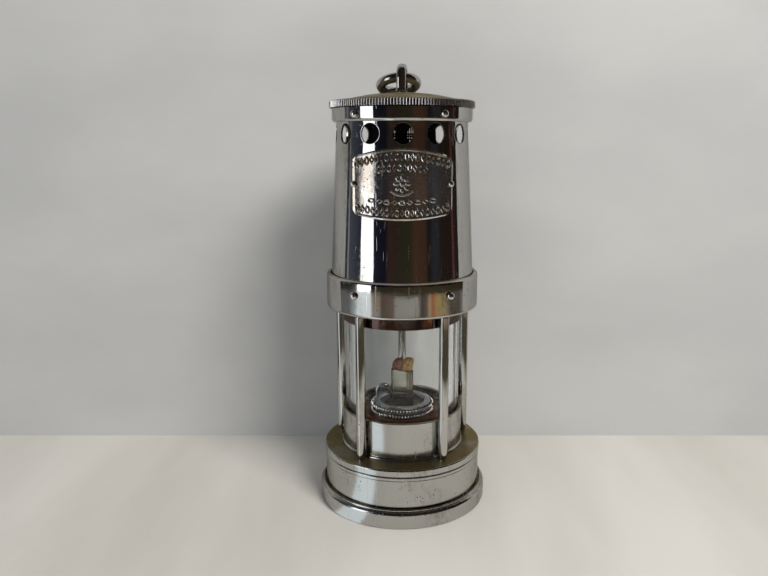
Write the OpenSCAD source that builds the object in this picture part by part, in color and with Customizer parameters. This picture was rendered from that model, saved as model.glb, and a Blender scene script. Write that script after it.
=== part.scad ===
// Flame safety lamp for a mine: an oil vessel on a flanged foot, a clear glass
// standing in a cup inside five pillars, a vented bonnet over two wire gauzes, and a
// carrying ring in a swivelling eye on the lid. The whole cage screws off the vessel.
// Millimetres. Origin at the centre of the base, +Z up, front towards -Y.

/* [Foot and vessel] */
// Radius of the foot flange that the lamp stands on
foot_r = 45; // [44:0.5:47]
// Height of the foot flange
foot_h = 8; // [7:0.5:9]
// Outer radius of the oil vessel
vessel_r = 41.8; // [41.4:0.1:42.2]
// Height of the vessel's top face above the ground
vessel_h = 26.1; // [25.5:0.1:28]
// Depth of the recess under the vessel, which holds the pricker's knob
recess_h = 14; // [13.8:0.1:15]
// Radius of the threaded neck that the cage screws on
neck_r = 28; // [27.5:0.1:28.2]

/* [Burner] */
// Height of the burner deck above the vessel's top face
deck_rise = 20.9; // [20:0.1:22]
// Outer radius of the milled burner nut
nut_r = 17.2; // [16.8:0.1:18]
// Radius of the opening in the burner nut
nut_hole_r = 11.6; // [11:0.1:12]
// Width of the flat wick tube
tube_w = 12; // [11:0.1:12.4]
// Thickness of the flat wick tube
tube_t = 5.5; // [5:0.1:5.8]
// Turn of the wick tube about the lamp's axis
tube_turn = -28; // [-32:1:-24]
// Height of the wick tube above the burner deck
tube_rise = 22.6; // [20:0.1:24]
// Travel of the wick pricker
pricker_travel = 9; // [6:0.5:9]

/* [Cage] */
// Outer radius of the cage's base ring
base_ring_r = 42.2; // [42:0.1:42.8]
// Thickness of the cage's base ring
base_ring_h = 3.6; // [3:0.1:4]
// Outer radius of the cup round the foot of the glass
cup_r = 32.2; // [32:0.1:32.4]
// Height of the cup
cup_h = 20.4; // [18:0.1:22]
// Outer radius of the glass
glass_r = 30; // [29.6:0.1:30]
// Wall of the glass
glass_wall = 5; // [4:0.1:5.2]
// Radius of a pillar
pillar_r = 2.5; // [2.3:0.1:2.7]
// Radius of the circle that the pillars stand on
pillar_circle = 35.5; // [35.3:0.1:35.7]
// Free length of a pillar between the rings
pillar_len = 75.7; // [70:0.1:80]

/* [Bonnet] */
// Outer radius of the shoulder ring between pillars and bonnet
mid_ring_r = 39.6; // [39.4:0.1:40]
// Height of the shoulder ring
mid_ring_h = 18; // [17:0.1:19]
// Outer radius of the bonnet where it leaves the shoulder ring
bonnet_r = 37; // [36.8:0.05:37.1]
// Outer radius of the bonnet at its top
bonnet_top_r = 33.35; // [33:0.05:33.6]
// Height of the bonnet above the shoulder ring
bonnet_rise = 82.4; // [80:0.1:84]
// Radius of a vent hole
vent_r = 4.9; // [4:0.1:5]
// Height of the collar under the lid
collar_h = 6.7; // [6.4:0.1:7]
// Outer radius of the collar
collar_r = 35.5; // [35.3:0.1:35.8]

/* [Lid, eye and ring] */
// Radius of the lid's milled edge
lid_r = 36.8; // [36.4:0.1:37.4]
// Height of the lid's milled edge
lid_edge_h = 3.7; // [3.5:0.1:4]
// Width of the eye across its band
eye_w = 4.6; // [4:0.1:4.8]
// Radius of the opening in the eye
eye_gap_r = 4.8; // [4.7:0.05:5]
// Thickness of the eye's band
eye_t = 3; // [2.6:0.1:3.2]
// Radius of the carrying ring to the middle of its wire
ring_r = 9.15; // [9.1:0.05:9.4]
// Radius of the carrying ring's wire
ring_wire_r = 2.45; // [2.2:0.05:2.45]
// Lean of the carrying ring below level, where it lies on the lid
ring_lean = 19; // [17:0.5:19]
// Turn of the carrying ring about the lamp's axis
ring_turn = 12; // [8:1:12]

/* [Hidden] */
$fn = 96;

// Clearance on the radius between pieces that fit into each other
fit = 0.05;
// Radius where radial bores start, so that neighbours never meet
bore_start = 29;
bore_length = 20;
// Sheet thickness of the vessel, the neck's sleeve and the base plate
sheet = 1.5;
pillars = 5;
pillar_pitch = 360 / pillars;

// Foot, vessel and neck
lip_h = 2;
lip_r = 37;
foot_bead_r = 43;
foot_bead_h = 1.6;
foot_edge = 1.3;
vessel_in_r = vessel_r - sheet;
sleeve_r = 23.2;
sleeve_in_r = 21.2;
neck_thread_h = 9.9;
neck_root_h = 3;
wadding_in_r = 11;
deck_z = vessel_h + deck_rise;
burner_hole_r = 10.6;
deck_collar_r = 15.5;
deck_collar_h = 2.5;

// Burner
plate_r = 14;
plate_h = 3;
plate_top = deck_z + plate_h;
plate_slot_h = 4;
nut_h = 6.3;
nut_edge = 1.2;
nut_rebate_h = 3;
wick_wall = 0.85;
tube_top = deck_z + tube_rise;

// Pricker
pricker_x = -7.2;
pricker_y = 0.5;
pricker_r = 0.9;
guide_r = pricker_r + 0.7;
crook_r = 3.2;
crook_z = deck_z + 10.9;
crook_tip_z = deck_z + 7.9;
knob_r = 4.5;
knob_h = 3.6;
knob_floor = 1;
knob_z = recess_h - pricker_travel - knob_h - 0.4;
bell_r = 2.4;
bell_in_r = 1.75;
bell_top = recess_h + 6.6;
bell_cap = 1;
wick_tube_z = bell_top + 1.4;
wick_z = recess_h + 2;
wick_lump_h = 4.6;
wick_lump_step = 0.5;

// Cage
washer_h = 0.6;
cage_z = vessel_h + washer_h;
cage_top = cage_z + base_ring_h;
cup_top = cage_top + cup_h;
cup_in_r = 30.5;
cup_bead = 0.7;
cup_bead_h = 1.7;
thread_fit = 0.06;
clamp_in_r = 24.4;
lower_gasket_in_r = 24.8;
upper_gasket_in_r = 25;
pillar_hole_h = 5;
pillar_foot_h = 2;
tenon_h = 3.8;
clamp_z = cage_z + 10.3;
gasket_z = clamp_z + 8;
glass_z = gasket_z + 1.5;
tenon_r = 1.85;
mid_z = cage_top + pillar_len;
mid_top = mid_z + mid_ring_h;
mid_flange_h = 4;
skirt_r = 37.2;
glass_top = mid_z - 4;
upper_gasket_h = 1;
mid_flange_in_r = 32.3;
mid_edge = 1.9;

// Bonnet and gauzes
bonnet_wall = 1;
bonnet_z = mid_z + mid_flange_h;
taper_z = mid_top - 1;
lid_z = mid_top + bonnet_rise;
collar_z = lid_z - collar_h;
taper_top = collar_z - 2.7;
vents = 13;
vent_z = collar_z - 5.7;
vent_start = 0.8;
// Turn that keeps the bonnet's seam midway between two vents
bonnet_seam = 7.7;
gauze_t = 0.5;
gauze_flange_r = 27.5;
gauze_flange_h = 1;
inner_gauze_r = 19;
inner_gauze_top_r = 15;
inner_gauze_top = lid_z - 12.4;
outer_gauze_r = 21.5;
outer_gauze_top_r = 16.8;
outer_gauze_top = lid_z - 6.4;
seat_wall = 1.5;
seat_skirt_z = mid_z - 6.8;
seat_skirt_h = 4;
seat_plate_h = 3;
seat_hole_r = 20;
seat_rim_r = 28;
seat_flange_w = 8;
seat_out_r = glass_r + 0.1 + seat_wall;
gauze_clamp_r = 22.2;
gauze_clamp_h = 3.5;
rivet_r = 2;
shank_r = 1;
ring_rivet_z = mid_z + 11;
collar_rivet_z = collar_z + 3.3;
collar_rivet_start = 33.5;
collar_edge = 1.1;

// Badge
badge_half_w = 24.4;
badge_z0 = mid_z + 47.8;
badge_z1 = mid_z + 81.5;
badge_rise = 4.5;
badge_drop = 2.5;
badge_t = 0.9;
badge_rim = 1.1;
badge_pin_z = mid_z + 64.5;
badge_pin_turn = 40.5;
badge_pin_r = 0.8;
badge_pin_head_r = 1.6;
badge_corner = 3.5;
badge_relief = 0.3;
badge_depth = 50;

// Lid, eye and ring
dome_r = 30;
dome_h = 4;
dome_sheet = 2;
lid_edge = 1.2;
register_r = 31;
register_h = 1.8;
dome_curve = (dome_r * dome_r + dome_h * dome_h) / (2 * dome_h);
dome_top = lid_z + lid_edge_h + 0.3 + dome_h;
shank_hole_r = 2.58;
eye_shank_r = 2.5;
eye_z = dome_top + 0.25;
eye_base_h = 1.75;
eye_turn = -5;
arch_z = dome_top + 6.1;
pivot_z = dome_top + 7.5;
under_lid_z = dome_top - 2.4;
shank_z = dome_top - 7.4;
eye_washer_r = 5;
eye_washer_h = 1;
eye_nut_r = 4.6;
eye_nut_h = 3.5;

// Outer radius of the bonnet's taper at height z
function taper_r(z) = bonnet_r + (bonnet_top_r - bonnet_r) * (z - taper_z) / (taper_top - taper_z);
// Radius of the circle through an arch's two ends and its crown
function arch_radius(half_w, rise) = (half_w * half_w + rise * rise) / (2 * rise);

// Half section of a ring whose two outer corners are rounded
module ring_section(r_in, r_out, z0, z1, edge) {
    translate([r_in, z0]) square([r_out - r_in - edge, z1 - z0]);
    translate([r_in, z0 + edge]) square([r_out - r_in, z1 - z0 - 2 * edge]);
    intersection() {
        translate([r_in, z0]) square([r_out - r_in, z1 - z0]);
        for (z = [z0 + edge, z1 - edge])
            translate([r_out - edge, z]) circle(edge);
    }
}

module plain_ring(r_in, r_out, z0, z1) {
    rotate_extrude() translate([r_in, z0]) square([r_out - r_in, z1 - z0]);
}

// Puts its children at angle a round the axis, counted from the front, with +X outwards
module radial(a, z) {
    translate([0, 0, z]) rotate([0, 0, a - 90]) children();
}

module radial_bore(a, z, r) {
    radial(a, z) translate([bore_start, 0, 0]) rotate([0, 90, 0]) cylinder(r = r, h = bore_length);
}

// Ball-headed rivet from radius r0 to its head's seat at radius r1
module rivet(a, z, r0, r1, head_r, pin_r) {
    radial(a, z) {
        translate([r0, 0, 0]) rotate([0, 90, 0]) cylinder(r = pin_r, h = r1 - r0 + 0.3);
        intersection() {
            translate([r1, 0, 0]) sphere(head_r);
            translate([r1, -head_r, -head_r]) cube(2 * head_r);
        }
    }
}

// Flat oval of the wick and its tube
module oval(w, t) {
    square([w - t, t], center = true);
    for (x = [-1, 1])
        translate([x * (w - t) / 2, 0]) circle(t / 2);
}

module at_pricker() {
    translate([pricker_x, pricker_y, 0]) children();
}

module foot_ring() {
    color("silver") rotate_extrude() {
        ring_section(vessel_r + fit, foot_r, 0, foot_h, foot_edge);
        translate([lip_r, 0]) square([vessel_r + 1 - lip_r, lip_h]);
        polygon([
            [vessel_r + fit, foot_h - 1], [foot_r - foot_edge, foot_h],
            [foot_bead_r, foot_h + 0.5], [foot_bead_r, foot_h + foot_bead_h],
            [vessel_r + fit, foot_h + foot_bead_h]
        ]);
    }
}

module oil_vessel() {
    color("lightgray") rotate_extrude() {
        ring_section(vessel_in_r, vessel_r, lip_h, vessel_h, 0.6);
        translate([sleeve_r + fit, vessel_h - sheet])
            square([vessel_in_r - sleeve_r, sheet]);
    }
}

module base_plate() {
    color("gray") difference() {
        translate([0, 0, recess_h]) cylinder(r = vessel_in_r - fit, h = sheet);
        at_pricker() cylinder(r = pricker_r + fit, h = vessel_h);
    }
}

module vessel_neck() {
    color("rosybrown") rotate_extrude() {
        translate([sleeve_in_r, vessel_h]) square([neck_r - sleeve_in_r, neck_thread_h]);
        translate([sleeve_in_r, vessel_h - neck_root_h])
            square([sleeve_r - sleeve_in_r, deck_rise + neck_root_h]);
        translate([burner_hole_r, deck_z - sheet]) square([sleeve_r - burner_hole_r, sheet]);
        translate([plate_r + fit, deck_z])
            square([deck_collar_r - plate_r - fit, deck_collar_h]);
    }
}

// Cotton that soaks up the oil in the vessel
module tank_wadding() {
    color("beige") plain_ring(wadding_in_r, vessel_in_r - 0.5,
        recess_h + sheet, vessel_h - neck_root_h - 0.1);
}

module burner_plate() {
    color("darkgray") difference() {
        union() {
            translate([0, 0, deck_z]) cylinder(r = plate_r, h = plate_h);
            translate([0, 0, deck_z - plate_h]) cylinder(r = burner_hole_r - fit, h = plate_h);
        }
        translate([0, 0, deck_z - plate_slot_h]) rotate([0, 0, tube_turn])
            linear_extrude(2 * plate_slot_h) oval(tube_w + 2 * fit, tube_t + 2 * fit);
        at_pricker() cylinder(r = guide_r + fit, h = tube_top);
    }
}

module burner_nut() {
    color("darkgoldenrod") rotate_extrude() difference() {
        ring_section(nut_hole_r, nut_r, deck_z + 0.1, deck_z + nut_h, nut_edge);
        translate([nut_hole_r - 1, deck_z]) square([deck_collar_r + fit - nut_hole_r + 1, nut_rebate_h]);
    }
}

module wick_tube() {
    color("tan") rotate([0, 0, tube_turn]) translate([0, 0, wick_tube_z])
        linear_extrude(tube_top - wick_tube_z) difference() {
            oval(tube_w, tube_t);
            oval(tube_w - 2 * wick_wall, tube_t - 2 * wick_wall);
        }
}

// Flat cotton wick with two burnt lumps above the tube
module wick() {
    wick_t = tube_t - 2 * wick_wall - 2 * fit;
    wick_w = tube_w - 2 * wick_wall - 2 * fit;
    color("burlywood") rotate([0, 0, tube_turn]) {
        translate([0, 0, wick_z]) linear_extrude(tube_top - wick_z) oval(wick_w, wick_t);
        for (side = [-1, 1])
            translate([side * (wick_w - wick_t) / 2.4, 0, tube_top]) {
                cylinder(r = wick_t / 2, h = wick_lump_h + wick_lump_step * side);
                translate([0, 0, wick_lump_h + wick_lump_step * side]) sphere(wick_t / 2);
            }
    }
}

// Guide of the pricker through the vessel, with a bell for the packing at its foot
module pricker_tube() {
    color("darkgray") at_pricker() {
        plain_ring(bell_in_r, bell_r, recess_h + sheet, bell_top - bell_cap);
        plain_ring(pricker_r + fit, bell_r, bell_top - bell_cap, bell_top);
        plain_ring(pricker_r + fit, guide_r, bell_top - 0.5, plate_top + 0.5);
    }
}

module pricker_packing() {
    color("saddlebrown") at_pricker()
        plain_ring(pricker_r + fit, bell_in_r - fit,
            recess_h + sheet + 0.1, bell_top - bell_cap - 0.1);
}

// Stiff wire that ends in a crook for trimming the wick
module pricker_wire() {
    color("dimgray") at_pricker() {
        translate([0, 0, knob_z + knob_floor])
            cylinder(r = pricker_r, h = crook_z - knob_z - knob_floor);
        translate([-crook_r, 0, crook_z]) rotate([90, 0, 0])
            rotate_extrude(angle = 180) translate([crook_r, 0]) circle(pricker_r);
        translate([-2 * crook_r, 0, crook_tip_z])
            cylinder(r = pricker_r, h = crook_z - crook_tip_z);
        translate([-2 * crook_r, 0, crook_tip_z]) sphere(pricker_r);
    }
}

module pricker_knob() {
    color("goldenrod") at_pricker() difference() {
        rotate_extrude() ring_section(0, knob_r, knob_z, knob_z + knob_h, 0.6);
        translate([0, 0, knob_z + knob_floor]) cylinder(r = pricker_r + fit, h = knob_h);
    }
}

module seal_washer() {
    color("maroon") plain_ring(neck_r + 0.2, vessel_r - 0.6, vessel_h, cage_z);
}

module pillar_holes(z) {
    for (i = [0 : pillars - 1])
        rotate([0, 0, pillar_pitch * (i + 0.5)]) translate([0, -pillar_circle, z])
            cylinder(r = tenon_r + fit, h = pillar_hole_h);
}

module cage_base_ring() {
    color("silver") difference() {
        rotate_extrude() {
            ring_section(neck_r + thread_fit, base_ring_r, cage_z, cage_top, 0.9);
            translate([neck_r + thread_fit, cage_z])
                square([cup_in_r - 0.1 - neck_r - thread_fit, clamp_z - cage_z]);
        }
        pillar_holes(cage_z - 0.5);
    }
}

module glass_cup() {
    color("gainsboro") rotate_extrude() {
        translate([cup_in_r, cage_top]) square([cup_r - cup_in_r, cup_h - 0.6]);
        ring_section(cup_in_r, cup_r, cup_top - 3, cup_top, 0.5);
        ring_section(cup_in_r, cup_r + cup_bead, cage_top, cage_top + cup_bead_h, 0.6);
    }
}

module glass_clamp_ring() {
    color("peru") plain_ring(clamp_in_r, cup_in_r - 0.1, clamp_z, gasket_z);
}

module lower_gasket() {
    color("maroon") plain_ring(lower_gasket_in_r, cup_in_r - 0.2, gasket_z, glass_z);
}

module glass() {
    color("lightcyan", 0.35) rotate_extrude()
        ring_section(glass_r - glass_wall, glass_r, glass_z, glass_top, 0.5);
}

module upper_gasket() {
    color("maroon") plain_ring(upper_gasket_in_r, glass_r - 0.1, glass_top, glass_top + upper_gasket_h);
}

// Pillar number i, with a rounded foot and a tenon in each ring
module pillar(i) {
    color("silver") rotate([0, 0, pillar_pitch * (i - 0.5)]) translate([0, -pillar_circle, 0]) {
        translate([0, 0, cage_z + 0.2]) cylinder(r = tenon_r, h = mid_z + tenon_h - cage_z - 0.2);
        translate([0, 0, cage_top]) cylinder(r1 = tenon_r, r2 = pillar_r, h = pillar_foot_h);
        translate([0, 0, cage_top + pillar_foot_h])
            cylinder(r = pillar_r, h = pillar_len - pillar_foot_h);
    }
}

module mid_ring() {
    color("silver") difference() {
        rotate_extrude() {
            ring_section(skirt_r + fit, mid_ring_r, mid_z, mid_top, mid_edge);
            translate([mid_flange_in_r, mid_z])
                square([skirt_r + 0.3 - mid_flange_in_r, mid_flange_h]);
        }
        pillar_holes(mid_z - 0.5);
        for (i = [0 : pillars - 1])
            radial_bore(pillar_pitch * (i + 0.5), ring_rivet_z, shank_r + fit);
    }
}

module mid_ring_rivets() {
    color("white") for (i = [0 : pillars - 1])
        rivet(pillar_pitch * (i + 0.5), ring_rivet_z, skirt_r - 2, mid_ring_r,
            rivet_r, shank_r);
}

// Seat that carries the gauzes and presses on the glass
module gauze_seat() {
    color("slategray") rotate_extrude() {
        translate([seat_out_r - seat_wall, seat_skirt_z]) square([seat_wall, seat_skirt_h]);
        translate([seat_hole_r, mid_z - seat_plate_h])
            square([seat_out_r - seat_hole_r, seat_plate_h]);
        translate([seat_rim_r, mid_z - 1]) square([seat_out_r - seat_rim_r, mid_flange_h + 2]);
        translate([seat_rim_r, bonnet_z]) square([seat_flange_w, seat_wall]);
    }
}

// Tapered gauze cap from radius r0 at height z0 to radius r1 at height z1
module gauze(r0, z0, r1, z1) {
    rotate_extrude() polygon([
        [r0 - gauze_t, z0], [gauze_flange_r, z0], [gauze_flange_r, z0 + gauze_flange_h],
        [r0, z0 + gauze_flange_h],
        [r1, z1], [0, z1], [0, z1 - gauze_t], [r1 - gauze_t, z1 - gauze_t]
    ]);
}

module inner_gauze() {
    color("dimgray") gauze(inner_gauze_r, mid_z, inner_gauze_top_r, inner_gauze_top);
}

module outer_gauze() {
    color("dimgray") gauze(outer_gauze_r, mid_z + gauze_flange_h, outer_gauze_top_r, outer_gauze_top);
}

module gauze_clamp() {
    color("slategray") plain_ring(gauze_clamp_r, seat_rim_r - fit, mid_z + 2 * gauze_flange_h,
        mid_z + 2 * gauze_flange_h + gauze_clamp_h);
}

module bonnet() {
    color("silver") difference() {
        rotate([0, 0, bonnet_seam]) rotate_extrude() polygon([
            [skirt_r - bonnet_wall, bonnet_z], [skirt_r, bonnet_z], [skirt_r, taper_z - 1],
            [bonnet_r, taper_z], [bonnet_top_r, taper_top], [bonnet_top_r, lid_z],
            [bonnet_top_r - bonnet_wall, lid_z], [bonnet_top_r - bonnet_wall, taper_top],
            [bonnet_r - bonnet_wall, taper_z], [skirt_r - bonnet_wall, taper_z - 1]
        ]);
        for (i = [0 : vents - 1])
            radial_bore(vent_start + i * 360 / vents, vent_z, vent_r);
        for (i = [0 : pillars - 1]) {
            radial_bore(pillar_pitch * (i + 0.5), ring_rivet_z, shank_r + fit);
            radial_bore(collar_rivet_start + pillar_pitch * i, collar_rivet_z, shank_r + fit);
        }
        for (side = [-1, 1])
            radial_bore(side * badge_pin_turn, badge_pin_z, badge_pin_r + fit);
    }
}

// Front outline of the badge: straight sides, an arched top and a bowed foot
module badge_outline() {
    top = arch_radius(badge_half_w, badge_rise);
    foot = arch_radius(badge_half_w, badge_drop);
    offset(r = badge_corner) offset(delta = -badge_corner) intersection() {
        translate([0, badge_z1 - top]) circle(top, $fn = 360);
        translate([0, badge_z0 + foot]) circle(foot, $fn = 360);
        translate([-badge_half_w, badge_z0]) square([2 * badge_half_w, badge_z1 - badge_z0]);
    }
}

// Cone that stands a distance out from the bonnet's taper, over the badge's height
module badge_cone(out) {
    z0 = badge_z0 - 2;
    z1 = badge_z1 + 2;
    translate([0, 0, z0]) cylinder(r1 = taper_r(z0) + out, r2 = taper_r(z1) + out, h = z1 - z0);
}

module badge() {
    color("lightgray") difference() {
        intersection() {
            badge_cone(badge_t);
            rotate([90, 0, 0]) linear_extrude(badge_depth) badge_outline();
        }
        badge_cone(fit);
        intersection() {
            difference() {
                badge_cone(badge_t + 1);
                badge_cone(badge_t - badge_relief);
            }
            rotate([90, 0, 0]) linear_extrude(badge_depth)
                offset(delta = -badge_rim) badge_outline();
        }
        for (side = [-1, 1])
            radial_bore(side * badge_pin_turn, badge_pin_z, badge_pin_r + fit);
    }
}

module badge_rivets() {
    seat = taper_r(badge_pin_z) + badge_t + 0.12;
    color("white") for (side = [-1, 1])
        rivet(side * badge_pin_turn, badge_pin_z, seat - 2.4, seat,
            badge_pin_head_r, badge_pin_r);
}

module bonnet_collar() {
    color("silver") difference() {
        rotate_extrude() polygon([
            [bonnet_top_r + fit, collar_z], [collar_r - collar_edge, collar_z],
            [collar_r, collar_z + collar_edge],
            [collar_r, lid_z], [bonnet_top_r + fit, lid_z]
        ]);
        for (i = [0 : pillars - 1])
            radial_bore(collar_rivet_start + pillar_pitch * i, collar_rivet_z, shank_r + fit);
    }
}

module collar_rivets() {
    color("white") for (i = [0 : pillars - 1])
        rivet(collar_rivet_start + pillar_pitch * i, collar_rivet_z,
            bonnet_top_r - 1.2, collar_r, rivet_r, shank_r);
}

// Domed cover with a milled edge; a register under it enters the bonnet
module lid() {
    color("silver") rotate_extrude() difference() {
        union() {
            ring_section(register_r, lid_r, lid_z, lid_z + lid_edge_h, lid_edge);
            intersection() {
                difference() {
                    translate([0, dome_top - dome_curve]) circle(dome_curve, $fn = 720);
                    translate([0, dome_top - dome_curve]) circle(dome_curve - dome_sheet, $fn = 720);
                }
                translate([0, lid_z]) square([register_r + 1, 3 * dome_h]);
            }
            translate([register_r, lid_z - register_h])
                square([bonnet_top_r - bonnet_wall - 0.1 - register_r, register_h + lid_edge]);
        }
        square([shank_hole_r, 2 * lid_z]);
    }
}

// Staple-shaped eye: a band bent into an arch, on a shank that turns in the lid
module swivel_eye() {
    color("dimgray") rotate([0, 0, eye_turn]) {
        rotate([90, 0, 90]) translate([0, 0, -eye_w / 2]) linear_extrude(eye_w) difference() {
            union() {
                intersection() {
                    translate([0, arch_z]) circle(eye_gap_r + eye_t);
                    translate([-eye_gap_r - eye_t, arch_z])
                        square(2 * (eye_gap_r + eye_t));
                }
                translate([-eye_gap_r - eye_t, eye_z])
                    square([2 * (eye_gap_r + eye_t), arch_z - eye_z]);
            }
            translate([0, arch_z]) circle(eye_gap_r);
            translate([-eye_gap_r, eye_z + eye_base_h])
                square([2 * eye_gap_r, arch_z - eye_z - eye_base_h]);
        }
        translate([0, 0, shank_z]) cylinder(r = eye_shank_r, h = eye_z + 0.1 - shank_z);
    }
}

module eye_washer() {
    color("silver") plain_ring(eye_shank_r + fit, eye_washer_r,
        under_lid_z - eye_washer_h, under_lid_z);
}

module eye_nut() {
    color("gray") translate([0, 0, under_lid_z - eye_washer_h - eye_nut_h]) difference() {
        cylinder(r = eye_nut_r, h = eye_nut_h, $fn = 6);
        translate([0, 0, -1]) cylinder(r = eye_shank_r + fit, h = eye_nut_h + 2);
    }
}

module carrying_ring() {
    color("dimgray") translate([0, 0, pivot_z]) rotate([0, 0, ring_turn])
        rotate([-ring_lean, 0, 0]) translate([0, ring_r, 0])
            rotate_extrude() translate([ring_r, 0]) circle(ring_wire_r);
}

foot_ring();
oil_vessel();
base_plate();
vessel_neck();
tank_wadding();
burner_plate();
burner_nut();
wick_tube();
wick();
pricker_tube();
pricker_packing();
pricker_wire();
pricker_knob();
seal_washer();
cage_base_ring();
glass_cup();
glass_clamp_ring();
lower_gasket();
glass();
upper_gasket();
pillar(1);  // pillar_1
pillar(2);  // pillar_2
pillar(3);  // pillar_3
pillar(4);  // pillar_4
pillar(5);  // pillar_5
mid_ring();
mid_ring_rivets();
gauze_seat();
inner_gauze();
outer_gauze();
gauze_clamp();
bonnet();
badge();
badge_rivets();
bonnet_collar();
collar_rivets();
lid();
swivel_eye();
eye_washer();
eye_nut();
carrying_ring();
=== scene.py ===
"""Dresses the flame safety lamp: turned and plated shells, burner, gauzes, lid and carrying ring.

Lengths in the sub-assemblies are millimetres. Every mesh is scaled to metres when it is finished.
"""

import logging
import math
from dataclasses import dataclass
from enum import Enum
from functools import cache
from typing import Callable, Iterable

import bmesh
import bpy
from mathutils import Matrix, Vector, noise

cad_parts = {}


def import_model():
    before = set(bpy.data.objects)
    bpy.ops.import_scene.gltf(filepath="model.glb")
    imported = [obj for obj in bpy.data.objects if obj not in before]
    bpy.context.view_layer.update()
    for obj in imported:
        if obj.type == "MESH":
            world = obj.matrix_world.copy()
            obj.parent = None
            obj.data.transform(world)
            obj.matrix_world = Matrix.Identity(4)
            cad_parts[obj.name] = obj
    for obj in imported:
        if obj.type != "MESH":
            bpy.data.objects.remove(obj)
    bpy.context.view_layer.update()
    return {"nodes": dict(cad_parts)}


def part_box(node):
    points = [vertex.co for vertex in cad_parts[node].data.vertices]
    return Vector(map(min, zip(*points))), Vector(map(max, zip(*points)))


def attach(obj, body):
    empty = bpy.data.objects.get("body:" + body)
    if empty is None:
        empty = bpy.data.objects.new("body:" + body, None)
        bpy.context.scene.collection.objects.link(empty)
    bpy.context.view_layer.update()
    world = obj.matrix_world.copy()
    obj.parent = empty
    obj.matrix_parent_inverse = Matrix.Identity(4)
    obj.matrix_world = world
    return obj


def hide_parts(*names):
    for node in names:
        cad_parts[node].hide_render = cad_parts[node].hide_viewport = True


LOG = logging.getLogger("safety_lamp")
MM = 0.001
ROUND = 1.0e-4
CREASE = math.radians(38)
FULL_TURN = 2.0 * math.pi
PILLARS = 5
PILLAR_PITCH = FULL_TURN / PILLARS
CLEARANCE = 0.05
# Stands a shape up: its +Z goes to the front, -Y, and its +Y goes up.
STAND = Matrix.Rotation(math.radians(90), 4, "X")
Colour = tuple[float, float, float, float]
Mesh = bmesh.types.BMesh
Vert = bmesh.types.BMVert
Edge = bmesh.types.BMEdge
Face = bmesh.types.BMFace
Socket = bpy.types.NodeSocket
Piece = bpy.types.Object


# ---------------------------------------------------------------- places from the frame


@dataclass(frozen=True)
class Extent:
    """The box of one CAD node, in millimetres."""

    low: Vector
    high: Vector

    @classmethod
    def of(cls, node: str) -> "Extent":
        """Reads the box of a node.

        Args:
            node: the CAD node's name.

        Returns:
            Its lowest and highest corners.
        """
        low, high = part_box(node)
        return cls(low / MM, high / MM)

    @property
    def radius(self) -> float:
        """Half the width along X, which is the outer radius of a turned piece."""
        return (self.high.x - self.low.x) / 2

    @property
    def middle(self) -> Vector:
        """The centre of the box."""
        return (self.low + self.high) / 2


# ---------------------------------------------------------------- mesh making


@dataclass(frozen=True)
class Corner:
    """A corner of a turned section: its radius, its height and how far it is rounded."""

    r: float
    z: float
    soft: float = 0.0


def soften(bm: Mesh, edges: Iterable[Edge], width: float, segments: int = 3) -> None:
    """Rounds edges.

    Args:
        bm: the mesh.
        edges: the edges to round.
        width: how far the rounding reaches along the faces.
        segments: how many strips it has.
    """
    bmesh.ops.bevel(
        bm, geom=list(edges), offset=width, affect="EDGES", segments=segments, profile=0.5, material=-1
    )


def ring_edges(bm: Mesh, corner: Corner) -> list[Edge]:
    """Finds the circle that a corner of a section has been spun into.

    Args:
        bm: the turned mesh.
        corner: the corner.

    Returns:
        The edges that lie on that circle.
    """

    def lies_on(vert: Vert) -> bool:
        """Whether a vertex lies on the corner's circle."""
        return abs(vert.co.z - corner.z) < ROUND and abs(vert.co.xy.length - corner.r) < ROUND

    return [e for e in bm.edges if lies_on(e.verts[0]) and lies_on(e.verts[1])]


def turned(corners: list[Corner], steps: int = 192, closed: bool = True) -> Mesh:
    """Spins a section about the lamp's axis and rounds its corners.

    Args:
        corners: the section's corners in order.
        steps: how many facets a full turn has.
        closed: whether the last corner joins the first.

    Returns:
        The turned mesh.
    """
    bm = bmesh.new()
    verts = [bm.verts.new((c.r, 0, c.z)) for c in corners]
    ends = verts[1:] + verts[:1] if closed else verts[1:]
    edges = [bm.edges.new(pair) for pair in zip(verts, ends)]
    bmesh.ops.spin(
        bm, geom=verts + edges, cent=(0, 0, 0), axis=(0, 0, 1), angle=FULL_TURN, steps=steps, use_merge=True
    )
    bmesh.ops.remove_doubles(bm, verts=bm.verts, dist=ROUND)
    for corner in corners:
        if corner.soft:
            soften(bm, ring_edges(bm, corner), corner.soft)
    bmesh.ops.recalc_face_normals(bm, faces=bm.faces)
    return bm


def hollow_ring(r_in: float, r_out: float, z0: float, z1: float, soft: float = 0.15) -> list[Corner]:
    """The section of a plain ring with its four corners eased.

    Args:
        r_in: inner radius.
        r_out: outer radius.
        z0: lowest height.
        z1: highest height.
        soft: rounding of the corners.

    Returns:
        The four corners.
    """
    return [Corner(r_in, z0, soft), Corner(r_out, z0, soft), Corner(r_out, z1, soft), Corner(r_in, z1, soft)]


def arc(r: float, z: float, radius: float, start: float, end: float, count: int) -> list[Corner]:
    """Corners along an arc of a section.

    Args:
        r: radius of the arc's centre from the lamp's axis.
        z: height of the arc's centre.
        radius: the arc's own radius.
        start: first angle in degrees, counted from outwards towards up.
        end: last angle in degrees.
        count: how many corners lie on it.

    Returns:
        The corners, with both ends.
    """
    angles = [math.radians(start + (end - start) * i / (count - 1)) for i in range(count)]
    return [Corner(r + radius * math.cos(a), z + radius * math.sin(a)) for a in angles]


def about_axis(angle: float) -> Matrix:
    """A turn about the lamp's axis that carries the front, -Y, round by an angle in radians."""
    return Matrix.Rotation(angle, 4, "Z")


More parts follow.
